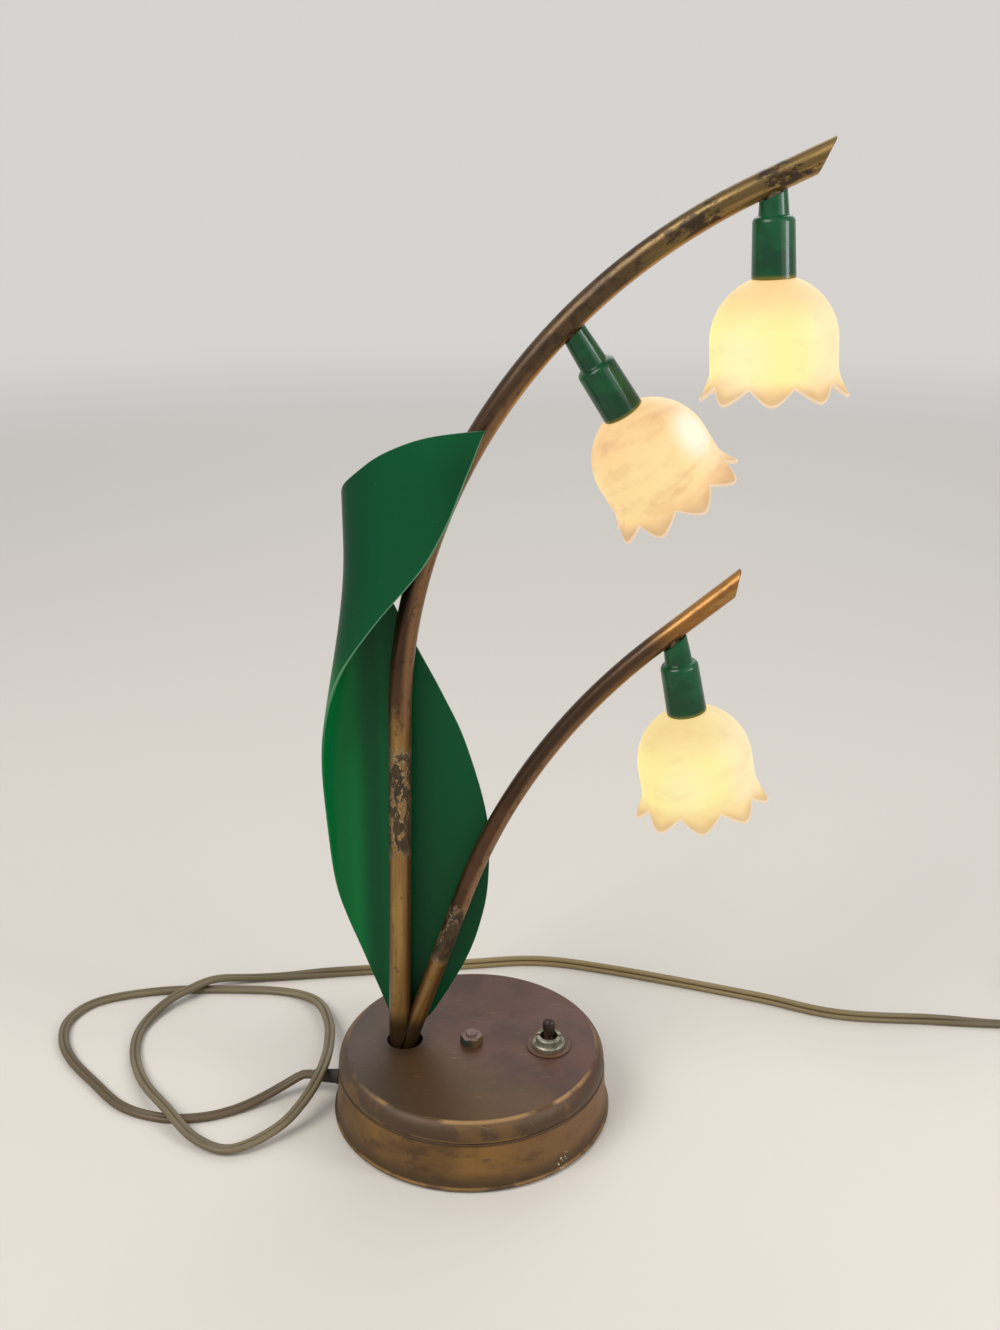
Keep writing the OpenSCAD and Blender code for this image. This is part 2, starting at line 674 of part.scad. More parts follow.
// Outer radius of a bulb's glass at a depth: a neck that swells to a rounded end
function bulb_r(d) = d < bulb_mid
    ? cap_d / 2 - 1 + (bulb_d / 2 - cap_d / 2 + 1) * smooth((d - cap_end + 4) / (bulb_mid - cap_end + 4))
    : bulb_d / 2 * sqrt(max(0, 1 - pow((d - bulb_mid) / (bulb_end - bulb_mid), 2)));

module bulb_glass(f) {
    from = cap_end - 6;
    steps = 8;
    down = [for (i = [0:steps]) from + (bulb_mid - from) * i / steps];
    color([0.98, 0.93, 0.80]) at_flower(f) translate([0, 0, depth(f, 0)]) rotate_extrude($fn = 48) polygon(concat(
        [for (d = down) [bulb_r(d), -d]],
        [for (i = [1:steps]) let (a = 90 * i / steps)
            [bulb_d / 2 * cos(a), -bulb_mid - (bulb_end - bulb_mid) * sin(a)]],
        [for (i = [steps:-1:1]) let (a = 90 * i / steps)
            [(bulb_d / 2 - glass_t) * cos(a), -bulb_mid - (bulb_end - bulb_mid - glass_t) * sin(a)]],
        reversed([for (d = down) [bulb_r(d) - glass_t, -d]])
    ));
}

module bulb_filaments() {
    loop_r = bulb_d / 2 - 5;
    half_a = 15;
    lead_x = loop_r * sin(half_a);
    // The stem's foot sits in the neck of the glass
    color([1, 0.75, 0.35]) for (f = [TOP, MID, LOW]) at_flower(f) translate([0, 0, depth(f, 0)]) {
        translate([0, 0, -cap_end - 2]) cylinder(d = 5, h = 5);
        translate([0, 0, -cap_end + 2]) cylinder(d = cap_d - 2 - 2 * glass_t - 0.1, h = 2);
        for (s = [-1, 1]) translate([s * lead_x, 0, -bulb_mid]) cylinder(d = 0.6, h = bulb_mid - cap_end);
        for (s = [-1, 1]) translate([s * lead_x, 0, -bulb_mid]) sphere(d = 0.9, $fn = 16);
        translate([0, 0, -bulb_mid + loop_r * cos(half_a)]) rotate([90, 0, 0]) rotate([0, 0, -90 - half_a])
            rotate_extrude(angle = 2 * half_a) translate([loop_r, 0]) circle(d = 0.5, $fn = 16);
    }
}

tang_x = leaf_x + 1.5;
tang_right = tang_w / 2 + 1.5;
tang_left = tang_w / 2 - 1.5;
// Leaf sections as [height, s at the right or upper margin, s at the left or lower margin],
// with s measured along the sheet from behind the long stem, through the curl, to the tip
leaf_stations = [
    [tang_end, -tang_right, tang_left],
    [tang_z, -tang_right, tang_left],
    [56, -19, 8],
    [88, -36.5, 20],
    [113, -45, 29.5],
    [138, -49, 35.5],
    [175, -48.5, 39.5],
    [217, -37.5, 43.5],
    [244, -25.7, 46],
    [268, -13.5, 50.5],
    [293, -1, 60],
    [320, 11, 77],
    [341, 21, 88.2],
    [355, 32, 94],
    [364, 42.5, 97.5],
    [373, 54, 101.2],
    [379.5, 68, 103.6],
    [383.5, 83, 105.2],
    [386, 104.8, 106.2]
];

function spline(p0, p1, p2, p3, t) =
    0.5 * (2 * p1 + (p2 - p0) * t + (2 * p0 - 5 * p1 + 4 * p2 - p3) * t * t
           + (3 * p1 - p0 - 3 * p2 + p3) * t * t * t);
function station(u) =
    let (last = len(leaf_stations) - 1, i = min(floor(u), last - 1))
    u <= 1
        ? leaf_stations[0] + (leaf_stations[1] - leaf_stations[0]) * u
        : spline(leaf_stations[i - 1], leaf_stations[i], leaf_stations[i + 1],
                 leaf_stations[min(i + 2, last)], u - i);
function leaf_y(z) = leaf_foot_y + (leaf_back - leaf_foot_y) * smooth((z - leaf_bend_z) / leaf_bend_rise);
function leaf_fold(z) = curl_low_x + (curl_high_x - curl_low_x) * smooth((z - curl_from_z) / curl_rise);
function leaf_point(z, s) =
    let (xc = leaf_fold(z) + curl_r, y = leaf_y(z), flat = leaf_x - xc, turn = curl_r * curl_a * PI / 180,
         a = min((s - flat) / turn, 1) * curl_a, run = max(s - flat - turn, 0), dish = min(s, 0) / 50)
    s < flat
        ? [leaf_x - s, y - leaf_dish * dish * dish, z]
        : [xc - curl_r * sin(a) - run * cos(a), y - curl_r * (1 - cos(a)) - run * sin(a), z];
function leaf_normal(z, s) =
    let (n = cross(leaf_point(z, s + 0.2) - leaf_point(z, s - 0.2),
                   leaf_point(z + 0.2, s) - leaf_point(z - 0.2, s)))
    n / norm(n);

module leaf() {
    cols = 16;
    rows = 2 * (len(leaf_stations) - 1);
    w = cols + 1;
    side = w * (rows + 1);
    pts = [for (k = [-1, 1], i = [0:rows], j = [0:cols])
        let (st = station(i / 2), s = st[1] + (st[2] - st[1]) * j / cols)
        leaf_point(st[0], s) + k * leaf_t / 2 * leaf_normal(st[0], s)];
    front = [for (i = [0:rows - 1], j = [0:cols - 1]) let (a = i * w + j)
        each [[a, a + 1, a + w + 1], [a, a + w + 1, a + w]]];
    back = [for (t = front) [t[0] + side, t[2] + side, t[1] + side]];
    rim = concat([for (j = [0:cols]) j], [for (i = [1:rows]) i * w + cols],
                 [for (j = [cols - 1:-1:0]) rows * w + j], [for (i = [rows - 1:-1:1]) i * w]);
    n = len(rim);
    edge = [for (i = [0:n - 1]) let (a = rim[i], b = rim[(i + 1) % n])
        each [[b, a, a + side], [b, a + side, b + side]]];
    color([0.03, 0.30, 0.14]) polyhedron(points = pts, faces = concat(front, back, edge));
}

module switch_washer() {
    color([0.30, 0.24, 0.20]) translate([switch_x, 0, base_h]) difference() {
        cylinder(d = washer_d, h = washer_t);
        translate([0, 0, -1]) cylinder(d = bushing_d + 0.4, h = washer_t + 2);
    }
}

module switch_ring_nut() {
    slot_w = 2;
    slot_h = 1.4;
    color([0.75, 0.74, 0.70]) translate([switch_x, 0, nut_z]) difference() {
        union() {
            cylinder(d = ring_nut_d, h = nut_foot_h - 0.8);
            translate([0, 0, nut_foot_h - 0.8 - eps]) cylinder(d1 = ring_nut_d, d2 = ring_nut_d - 1.6, h = 0.8);
            cylinder(d = collar_d, h = ring_nut_h - 0.5);
            translate([0, 0, ring_nut_h - 0.5 - eps]) cylinder(d1 = collar_d, d2 = collar_d - 0.8, h = 0.5);
        }
        translate([0, 0, -1]) cylinder(d = bushing_d + 2 * thread_fit, h = ring_nut_h - collar_lip + 1);
        cylinder(d = bushing_bore, h = ring_nut_h + 1);
        translate([-collar_d, -slot_w / 2, ring_nut_h - slot_h]) cube([2 * collar_d, slot_w, slot_h + 1]);
    }
}

module switch_bushing() {
    low = body_top;
    top = collar_top - collar_lip - 0.1;
    color([0.66, 0.60, 0.44]) translate([switch_x, 0, 0]) difference() {
        union() {
            translate([0, 0, low]) cylinder(d = bushing_d, h = top - low);
            translate([0, 0, low]) cylinder(d = bushing_d + 4, h = 1.5);
        }
        translate([0, 0, low - 1]) cylinder(d = bushing_bore, h = top - low + 2);
        translate([-bushing_d, 0, pivot_z]) rotate([0, 90, 0]) cylinder(d = pin_d, h = 2 * bushing_d);
    }
}

module switch_lock_nut() {
    color([0.66, 0.62, 0.52]) translate([switch_x, 0, lid_under - lock_nut_h]) difference() {
        cylinder(d = (bushing_d + 4) / cos(30), h = lock_nut_h, $fn = 6);
        translate([0, 0, -1]) cylinder(d = bushing_d + 2 * thread_fit, h = lock_nut_h + 2);
    }
}

module switch_body() {
    color([0.16, 0.10, 0.07]) translate([switch_x, 0, body_top - body_h]) difference() {
        union() {
            translate([-body_w / 2, -body_deep / 2, 0]) cube([body_w, body_deep, body_h - 3]);
            translate([0, 0, body_h - 3 - eps]) cylinder(d = body_deep - 0.4, h = 3 - seat / 2);
        }
        translate([0, 0, body_h - 6]) cylinder(d = bushing_bore - 0.4, h = 7);
    }
}

tab_z = body_top - body_h + 6;

module switch_terminals() {
    tab = [1, 7, 9];
    color([0.74, 0.62, 0.32]) for (s = [-1, 1]) translate([switch_x + s * (body_w / 2 + tab[0] / 2), 0, tab_z]) {
        translate([-tab[0] / 2, -tab[1] / 2, -tab[2] / 2]) cube(tab);
        rotate([0, s * 90, 0]) difference() {
            cylinder(d = 5, h = 2.2);
            translate([-3, -0.4, 1.5]) cube([6, 0.8, 1]);
        }
    }
}

module lever_pin() {
    color([0.70, 0.70, 0.68]) translate([switch_x - bushing_d / 2 + 0.05, 0, pivot_z]) rotate([0, 90, 0])
        cylinder(d = pin_d, h = bushing_d - 0.1);
}

module toggle_lever() {
    r = lever_head_d / 2;
    neck_top = lever_l - 2 * r;
    color([0.17, 0.10, 0.07]) translate([switch_x, 0, pivot_z]) rotate([-lever_lean, 0, 0]) difference() {
        union() {
            rotate_extrude($fn = 48) polygon(concat(
                [[0, 0], [lever_neck_d / 2 - 0.5, 0], [lever_neck_d / 2, neck_top - 2.5], [r, neck_top]],
                arc(0, lever_l - r, r, 0, 90, 6)
            ));
            sphere(d = ball_d, $fn = 48);
            translate([0, 0, -tail_l]) cylinder(d = tail_d, h = tail_l);
        }
        translate([-bushing_d, 0, 0]) rotate([0, 90, 0]) cylinder(d = pin_d + 2 * run_fit, h = 2 * bushing_d);
    }
}

// The cord leaves the skirt along -X: a neck in the hole, a flange behind the wall and a taper outside
// The relief is snapped into the slanting wall: sleeve and flange inside, neck in the hole, taper outside
module strain_relief() {
    outer_clear = 0.65;
    flange_d = relief_d + 3.4;
    sleeve_d = relief_d - 0.4;
    collar_l = 1.6;
    collar_d = relief_d + 1.4;
    wall_x = skirt_out(exit_h);
    sleeve_x = wall_x - relief_back;
    flange_x = sleeve_x + relief_sleeve_l;
    neck_x = flange_x + relief_flange_t;
    collar_x = wall_x + outer_clear;
    taper_x = collar_x + collar_l;
    color([0.14, 0.10, 0.07]) translate([0, 0, exit_h]) rotate([0, -90, 0]) difference() {
        union() {
            translate([0, 0, sleeve_x]) cylinder(d = sleeve_d, h = relief_sleeve_l + eps);
            translate([0, 0, flange_x]) cylinder(d = flange_d, h = relief_flange_t);
            translate([0, 0, neck_x - eps]) cylinder(d = relief_d, h = collar_x - neck_x + 2 * eps);
            translate([0, 0, collar_x]) cylinder(d1 = collar_d, d2 = relief_d, h = collar_l);
            translate([0, 0, taper_x - eps])
                cylinder(d1 = relief_d, d2 = cord_w + 0.4, h = -exit_x - taper_x + eps);
        }
        translate([0, 0, sleeve_x - eps])
            cylinder(d = cord_t + 2 * seat, h = relief_sleeve_l + relief_flange_t);
    }
}

// Cross-section of the flat twin cord: two round conductors side by side with a groove between them
function twin_section(w, t) =
    let (r = t / 2, c = w / 2 - r)
    concat([for (a = [-90:45:90]) [c + r * cos(a), r * sin(a)]], [[0, r * 0.7]],
           [for (a = [90:45:270]) [-c + r * cos(a), r * sin(a)]], [[0, -r * 0.7]]);
function flat_section(w, t) =
    let (x = w / 2 - t / 4)
    [[w / 2, 0], [x - t / 4, t / 2], [-x + t / 4, t / 2], [-w / 2, 0], [-x + t / 4, -t / 2], [x - t / 4, -t / 2]];
function round_section(d, n) = [for (i = [0:n - 1]) [d / 2 * cos(i * 360 / n), d / 2 * sin(i * 360 / n)]];

// A tube swept along points, its section kept level
module swept(pts, section) {
    n = len(section);
    m = len(pts);
    rings = [for (i = [0:m - 1])
        let (d = pts[min(i + 1, m - 1)] - pts[max(i - 1, 0)], t = d / norm(d),
             side = cross(t, [0, 0, 1]), u = side / norm(side), v = cross(u, t))
        for (q = section) pts[i] + q[0] * u + q[1] * v];
    walls = [for (i = [0:m - 2], k = [0:n - 1])
        let (a = i * n + k, b = i * n + (k + 1) % n) each [[a, b, b + n], [a, b + n, a + n]]];
    caps = concat([[for (k = [n - 1:-1:0]) k]], [[for (k = [0:n - 1]) (m - 1) * n + k]]);
    polyhedron(points = rings, faces = concat(walls, caps));
}

// A smooth curve through the route's points, sampled at even steps
function route_point(r, u) =
    let (last = len(r) - 1, i = min(floor(u), last - 1))
    spline(r[max(i - 1, 0)], r[i], r[i + 1], r[min(i + 2, last)], u - i);
function span_points(r, i, step_l) =
    let (n = max(round(norm(r[i + 1] - r[i]) / step_l), 1)) [for (k = [0:n - 1]) route_point(r, i + k / n)];
function sampled(r, step_l) =
    concat([for (i = [0:len(r) - 2]) each span_points(r, i, step_l)], [r[len(r) - 1]]);

low_z = cord_t / 2;
// The unseen length, wound in a ring that spirals in on the table and out again on top of itself
coil_at = [378, 136];
coil_out_r = 39;
coil_pitch = 7;
coil_in_turns = 1.25;
coil_out_turns = 1;
// The upper turn ends wider than the lower one starts, so that the two never lean on each other
coil_top_r = coil_out_r + 3;
coil_layer = cord_t + 0.6;
tie_t = 0.6;
coil_z = low_z + tie_t + 0.2;
coil_lead = cord_w;
coil_tail = 34;
coil_x = coil_at[0] - coil_lead;
coil_in_y = coil_at[1] - coil_out_r;
coil_turns = coil_in_turns + coil_out_turns;
coil_in_r = coil_out_r - coil_pitch * coil_in_turns;
exit_x = -skirt_out(exit_h) - relief_l;
cord_route = [
    [exit_x - 0.05, 0, exit_h], [exit_x - cord_w, 0, exit_h], [-108, -5, 7], [-119, -12, 3.4],
    [-132, -21.3, 1.9],
    [-149, -29, low_z], [-171, -31, low_z], [-196, -23, low_z], [-219, -3, low_z], [-240, 18, low_z],
    [-252, 38, low_z], [-255, 59, low_z], [-243, 79, low_z], [-208, 93, low_z], [-165, 98, low_z],
    [-129, 98, 1.8], [-107, 87, 3.6], [-94, 61, 7.6], [-87, 28, 13.5], [-85, -5, 19],
    [-91, -25, 13.5], [-103, -41, 6.6], [-125, -56, 3.2], [-147, -49, 3.8], [-168, -29, 6.4],
    [-190, -2, 3.4], [-204, 26, 1.8], [-208, 52, 1.9], [-200, 76, 4.4], [-188, 90, 6.2],
    [-174, 103, 5.9], [-148, 112, 2.6], [-87, 124, low_z], [-19, 137, low_z], [30, 145, low_z],
    [81, 137, low_z], [168, 114, low_z], [219, 98, low_z], [282, 97, low_z], [coil_x, coil_in_y, coil_z]
];

function coil_r(t) = t < coil_in_turns
    ? coil_out_r - coil_pitch * t
    : coil_in_r + (coil_top_r - coil_in_r) * (t - coil_in_turns) / coil_out_turns;
function coil_h(t) = coil_z + coil_layer * smooth((t - coil_in_turns + 0.28) / 0.3);
function coil_point(t) = let (a = 360 * t - 90)
    [coil_at[0] + coil_r(t) * cos(a), coil_at[1] + coil_r(t) * sin(a), coil_h(t)];
loop_rings = 24;
coil_end = coil_point(coil_turns);
plug_z = 6.85;
coil_points = concat(
    [[coil_x, coil_in_y, coil_z]],
    [for (i = [0:round(coil_turns * loop_rings)]) coil_point(i / loop_rings)],
    [for (d = [12, 23, coil_tail]) coil_end + [0, d, (plug_z - coil_end[2]) * min(d / 23, 1)]]
);
// Free space between two places of the coil: level gap or height gap, whichever parts them
function gap(p, q) = max(norm([p[0] - q[0], p[1] - q[1]]) - cord_w, abs(p[2] - q[2]) - cord_t);
coil_gap = min([for (i = [0:len(coil_points) - 1], j = [i + 12:1:len(coil_points) - 1])
    gap(coil_points[i], coil_points[j])]);
echo(coil_gap = coil_gap);
function run_length(p) = [for (i = [1:len(p) - 1]) norm(p[i] - p[i - 1])] * [for (i = [1:len(p) - 1]) 1];
run_points = [for (p = sampled(cord_route, 16.5)) [p[0], p[1], max(p[2], low_z)]];
echo(cord_run_length = run_length(run_points), rings = len(run_points), coil_length = run_length(coil_points));

module cord_run() {
    color([0.42, 0.37, 0.20]) swept(run_points, twin_section(cord_w, cord_t));
}

module cord_coil() {
    color([0.42, 0.37, 0.20]) swept(coil_points, flat_section(cord_w, cord_t));
}

// The tie holds the two strands that lie on each other on the coil's far side
module cord_tie() {
    t = 0.6;
    a = 360 * t - 90;
    inner = coil_r(t + 1) - cord_w / 2 - seat;
    outer = coil_r(t) + cord_w / 2 + seat;
    tall = coil_layer + cord_t + 0.5;
    band = 4;
    color([0.10, 0.10, 0.10]) translate([coil_at[0], coil_at[1], 0]) rotate([0, 0, a]) translate([0, band / 2, 0])
        rotate([90, 0, 0]) linear_extrude(height = band) difference() {
            translate([inner - tie_t, 0]) square([outer - inner + 2 * tie_t, tall + 2 * tie_t]);
            translate([inner, tie_t]) square([outer - inner, tall]);
        }
}

module plug_body() {
    w = 35;
    l = 36;
    h = 2 * plug_z;
    neck = 9;
    color([0.20, 0.15, 0.10]) translate([coil_end[0], coil_end[1] + coil_tail + 0.05, 0]) intersection() {
        linear_extrude(height = h) polygon([
            [-neck / 2, 0], [neck / 2, 0], [neck / 2, 7], [w / 2, 20], [w / 2, l - 1], [w / 2 - 1, l],
            [-w / 2 + 1, l], [-w / 2, l - 1], [-w / 2, 20], [-neck / 2, 7]
        ]);
        translate([-w, 0, 0]) rotate([90, 0, 90]) linear_extrude(height = 2 * w) polygon([
            [0, 2.4], [0, h - 2.4], [12, h - 1.2], [20, h], [l - 1, h], [l, h - 1],
            [l, 1], [l - 1, 0], [20, 0], [12, 1.2]
        ]);
    }
}

module plug_pins() {
    pin_l = 19;
    spread = 18.6;
    d = 4;
    color([0.75, 0.68, 0.45]) for (s = [-1, 1])
        translate([coil_end[0] + s * spread / 2, coil_end[1] + coil_tail + 36.05, plug_z]) rotate([-90, 0, 0]) {
            cylinder(d = d, h = pin_l - d / 2);
            translate([0, 0, pin_l - d / 2]) sphere(d = d, $fn = 32);
        }
}

inner_route = [
    [-skirt_out(exit_h) + relief_back + seat, 0, exit_h], [-66, 0, exit_h], [-62, -0.2, exit_h + 0.1],
    [-58.5, -2, 13.9], [-55.5, -7, 15.3], [-50, -20, 16], [-38, -29, 16.5], [-24, -34, 17],
    [block_at[0] - block[0] / 2 - seat, block_at[1], 17.5]
];

module inner_cord() {
    color([0.42, 0.37, 0.20]) swept(sampled(inner_route, 7), twin_section(cord_w, cord_t));
}

module cord_clamp() {
    w = 5;
    reach = 10;
    arch = cord_w / 2 + seat;
    top = exit_h + cord_t / 2 + 0.2 - weight_top;
    color([0.60, 0.58, 0.52]) translate([clamp_x - w / 2, 0, weight_top]) difference() {
        rotate([90, 0, 90]) linear_extrude(height = w) polygon([
            [-reach, 0], [-arch - strip, 0], [-arch, top], [arch, top], [arch + strip, 0], [reach, 0],
            [reach, strip], [arch + 1.7, strip], [arch + 0.6, top + strip], [-arch - 0.6, top + strip],
            [-arch - 1.7, strip], [-reach, strip]
        ]);
        for (s = [-1, 1]) translate([w / 2, s * clamp_screw_y, -1])
            cylinder(d = screw_d + 2 * thread_fit, h = strip + 2);
    }
}

module screw(at, l) {
    translate(at) difference() {
        union() {
            translate([0, 0, -l]) cylinder(d = screw_d, h = l);
            cylinder(d1 = 4.4, d2 = 3.8, h = 1.6);
        }
        translate([-3, -0.35, 0.8]) cube([6, 0.7, 1]);
    }
}

module clamp_screws() {
    color([0.66, 0.66, 0.64]) {
        for (s = [-1, 1]) screw([clamp_x, s * clamp_screw_y, weight_top + strip + eps], strip);
        screw([block_at[0], block_at[1], weight_top + block[2] + eps], block[2]);
    }
}

// Places of the block's four screws, height of its wire bores and their size
pole_x = 7;
pole_y = 4.4;
wire_z = 5;
wire_bore_d = 3.4;

module terminal_block() {
    color([0.82, 0.80, 0.74]) translate([block_at[0], block_at[1], weight_top]) difference() {
        translate([-block[0] / 2, -block[1] / 2, 0]) cube(block);
        for (s = [-1, 1]) translate([-block[0] / 2 - 1, s * pole_y, wire_z]) rotate([0, 90, 0])
            cylinder(d = wire_bore_d, h = block[0] + 2);
        for (s = [-1, 1], k = [-1, 1]) translate([k * pole_x, s * pole_y, wire_z])
            cylinder(d = screw_d + 2 * thread_fit, h = block[2]);
        translate([0, 0, -1]) cylinder(d = screw_d + 2 * thread_fit, h = block[2] + 2);
    }
}

module terminal_screws() {
    color([0.76, 0.64, 0.34]) for (s = [-1, 1], k = [-1, 1])
        translate([block_at[0] + k * pole_x, block_at[1] + s * pole_y, weight_top + 4]) difference() {
            cylinder(d = screw_d, h = block[2] - 4.6);
            translate([-3, -0.3, block[2] - 5.4]) cube([6, 0.6, 2]);
        }
}

wire_d = 2;
wire_from = [wire_hole[0], -long_od / 2 - 3.3, wire_hole[1]];
wire_routes = [
    [wire_from + [1.3, 0, 0], [-36, -18, 29], [-22, -28, 24], [-12, -31.6, 18.5],
     [block_at[0] - block[0] / 2 - seat, block_at[1] + pole_y, weight_top + wire_z]],
    [wire_from + [-1.3, 0, 0], [-37, -20, 31], [-14, -24, 31], [8, -20, 27],
     [24, -12, 22], [switch_x - body_w / 2 - 3.9, -2, tab_z]],
    [[block_at[0] + block[0] / 2 + seat, block_at[1] + pole_y, weight_top + wire_z],
     [24, -31, 18], [38, -27, 20], [52, -18, 21], [switch_x + body_w / 2 + 5, -8, 21], [switch_x + body_w / 2 + 3.9, -1, tab_z]]
];

module base_wires() {
    color([0.60, 0.55, 0.36]) for (r = wire_routes) swept(sampled(r, 6), round_section(wire_d, 8));
}

base_lid();
base_skirt();
bottom_plate();
felt_pad();
counterweight();
centre_bolt();
bolt_spacer();
centre_nut();
stem_set_screw();
long_stem();
short_stem();
long_stem_wires();
short_stem_wires();
leaf();
cover(TOP);  // cover_top
cover(MID);  // cover_middle
cover(LOW);  // cover_low
nipple(TOP);  // nipple_top
nipple(MID);  // nipple_middle
nipple(LOW);  // nipple_low
socket(TOP);  // socket_top
socket(MID);  // socket_middle
socket(LOW);  // socket_low
shade_ring(TOP);  // shade_ring_top
shade_ring(MID);  // shade_ring_middle
shade_ring(LOW);  // shade_ring_low
shade(TOP);  // shade_top
shade(MID);  // shade_middle
shade(LOW);  // shade_low
bulb_cap(TOP);  // bulb_cap_top
bulb_cap(MID);  // bulb_cap_middle
bulb_cap(LOW);  // bulb_cap_low
bulb_glass(TOP);  // bulb_glass_top
bulb_glass(MID);  // bulb_glass_middle
bulb_glass(LOW);  // bulb_glass_low
bulb_filaments();
switch_washer();
switch_ring_nut();
switch_bushing();
switch_lock_nut();
switch_body();
switch_terminals();
lever_pin();
toggle_lever();
strain_relief();
inner_cord();
cord_clamp();
clamp_screws();
terminal_block();
terminal_screws();
base_wires();
cord_run();
cord_coil();
cord_tie();
plug_body();
plug_pins();
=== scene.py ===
"""A table lamp: two curved brass stems, a rolled green leaf and three lit glass bells on a round base.

Metres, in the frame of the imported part: the origin is the middle of the base on the table, +Z is up, and
+X runs from the stems to the switch. The camera and the cord come first, then the finishes, the base, the
stems, the leaf, the flowers and small pieces, and at the end the floor and the light.
"""

import math

import bpy
import numpy as np
from mathutils import Matrix, Vector


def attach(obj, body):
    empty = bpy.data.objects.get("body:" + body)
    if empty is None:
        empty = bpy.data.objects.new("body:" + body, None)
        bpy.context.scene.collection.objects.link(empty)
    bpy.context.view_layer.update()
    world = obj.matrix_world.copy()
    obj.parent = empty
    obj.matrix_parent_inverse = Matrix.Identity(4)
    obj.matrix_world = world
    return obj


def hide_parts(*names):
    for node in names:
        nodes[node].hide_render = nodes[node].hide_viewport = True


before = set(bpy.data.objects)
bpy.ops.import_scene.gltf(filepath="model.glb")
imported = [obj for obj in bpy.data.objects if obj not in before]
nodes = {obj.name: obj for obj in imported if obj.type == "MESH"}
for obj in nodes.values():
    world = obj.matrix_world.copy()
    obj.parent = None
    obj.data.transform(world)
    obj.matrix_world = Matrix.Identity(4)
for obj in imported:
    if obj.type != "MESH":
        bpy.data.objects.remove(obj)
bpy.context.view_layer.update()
scene = bpy.context.scene


# ---------------------------------------------------------------- camera, from the photograph's viewing angle
CAMERA_AT, CAMERA_TILT, CAMERA_TURN = (0.0692, -0.6854, 0.5202), 69.606, 4.438
SENSOR_MM, LENS_MM = 36, 39.33

bpy.ops.object.camera_add(
    location=CAMERA_AT, rotation=(math.radians(CAMERA_TILT), 0, math.radians(CAMERA_TURN))
)
camera = bpy.context.object
camera.data.sensor_width, camera.data.lens = SENSOR_MM, LENS_MM
scene.camera = camera


# ---------------------------------------------------------------- finishes: shader maths written as formulas
def tint(r, g, b):
    """A colour written as it looks on a screen, 0 to 255, as the renderer's own."""
    return tuple(c / 255 / 12.92 if c <= 10 else ((c / 255 + 0.055) / 1.055) ** 2.4 for c in (r, g, b)) + (1,)


class Value:
    """A socket in a finish. Sums and products of values add their Math nodes."""

    def __init__(self, finish, socket):
        self.finish, self.socket = finish, socket

    def math(self, what, a, b):
        return self.finish.node("Math", {0: a, 1: b}, operation=what)

    def __add__(self, other):
        return self.math("ADD", self, other)

    def __sub__(self, other):
        return self.math("SUBTRACT", self, other)

    def __rsub__(self, other):
        return self.math("SUBTRACT", other, self)

    def __mul__(self, other):
        return self.math("MULTIPLY", self, other)

    def __pow__(self, power):
        return self.math("POWER", self, power)

    __radd__ = __add__
    __rmul__ = __mul__

    def size(self):
        return self.math("ABSOLUTE", self, 0)


class Finish:
    """One material: a Principled surface fed by formulas on where a point lies."""

    def __init__(self, name, **surface):
        self.material = bpy.data.materials.new(name)
        self.material.use_nodes = True
        self.tree = self.material.node_tree
        self.tree.nodes.clear()
        self.surface = self.tree.nodes.new("ShaderNodeBsdfPrincipled")
        out = self.tree.nodes.new("ShaderNodeOutputMaterial")
        self.tree.links.new(self.surface.outputs[0], out.inputs[0])
        self.set(Specular_IOR_Level=0.5)
        self.set(**surface)

    def feed(self, socket, value):
        if isinstance(value, Value):
            self.tree.links.new(value.socket, socket)
        else:
            socket.default_value = value

    def node(self, kind, inputs=(), output=0, **settings):
        n = self.tree.nodes.new("ShaderNode" + kind)
        for key, value in settings.items():
            setattr(n, key, value)
        for key, value in dict(inputs).items():
            self.feed(n.inputs[key], value)
        return Value(self, n.outputs[output])

    def set(self, **sockets):
        """Feeds the surface's sockets, named with an underscore for each space."""
        for key, value in sockets.items():
            self.feed(self.surface.inputs[key.replace("_", " ")], value)

    def place(self, attribute=None):
        """Where a point lies: in the room, or in a place kept with the piece's vertices."""
        if attribute:
            return self.node("Attribute", output="Vector", attribute_name=attribute)
        return self.node("TexCoord", output="Object")

    def parts(self, vector):
        split = self.tree.nodes.new("ShaderNodeSeparateXYZ")
        self.feed(split.inputs[0], vector)
        return [Value(self, o) for o in split.outputs]

    def cloud(self, place, scale, detail=3, rough=0.5, stretch=(1, 1, 1), shift=(0, 0, 0)):
        """Soft random tones, from about 0.3 to 0.7."""
        moved = self.node("Mapping", {"Vector": place, "Scale": stretch, "Location": shift})
        return self.node("TexNoise", {"Vector": moved, "Scale": scale, "Detail": detail, "Roughness": rough})

    def step(self, value, low, high):
        """0 below low, 1 above high, smooth between them."""
        ends = {0: value, 1: low, 2: high, 3: 0.0, 4: 1.0}
        return self.node("MapRange", ends, interpolation_type="SMOOTHSTEP")

    def fall(self, value, low, high):
        return 1 - self.step(value, low, high)

    def mix(self, under, over, share):
        return self.node("Mix", {0: share, 6: under, 7: over}, output=2, data_type="RGBA")

    def bump(self, height, distance, strength):
        self.set(Normal=self.node("Bump", {"Height": height, "Distance": distance, "Strength": strength}))


def reach(*parts):
    """The length of a vector from its parts."""
    return sum(part * part for part in parts) ** 0.5


# ---------------------------------------------------------------- modelling as by hand
def nothing_selected():
    if bpy.context.object and bpy.context.object.mode != "OBJECT":
        bpy.ops.object.mode_set(mode="OBJECT")
    bpy.ops.object.select_all(action="DESELECT")


def take(piece):
    nothing_selected()
    piece.select_set(True)
    bpy.context.view_layer.objects.active = piece


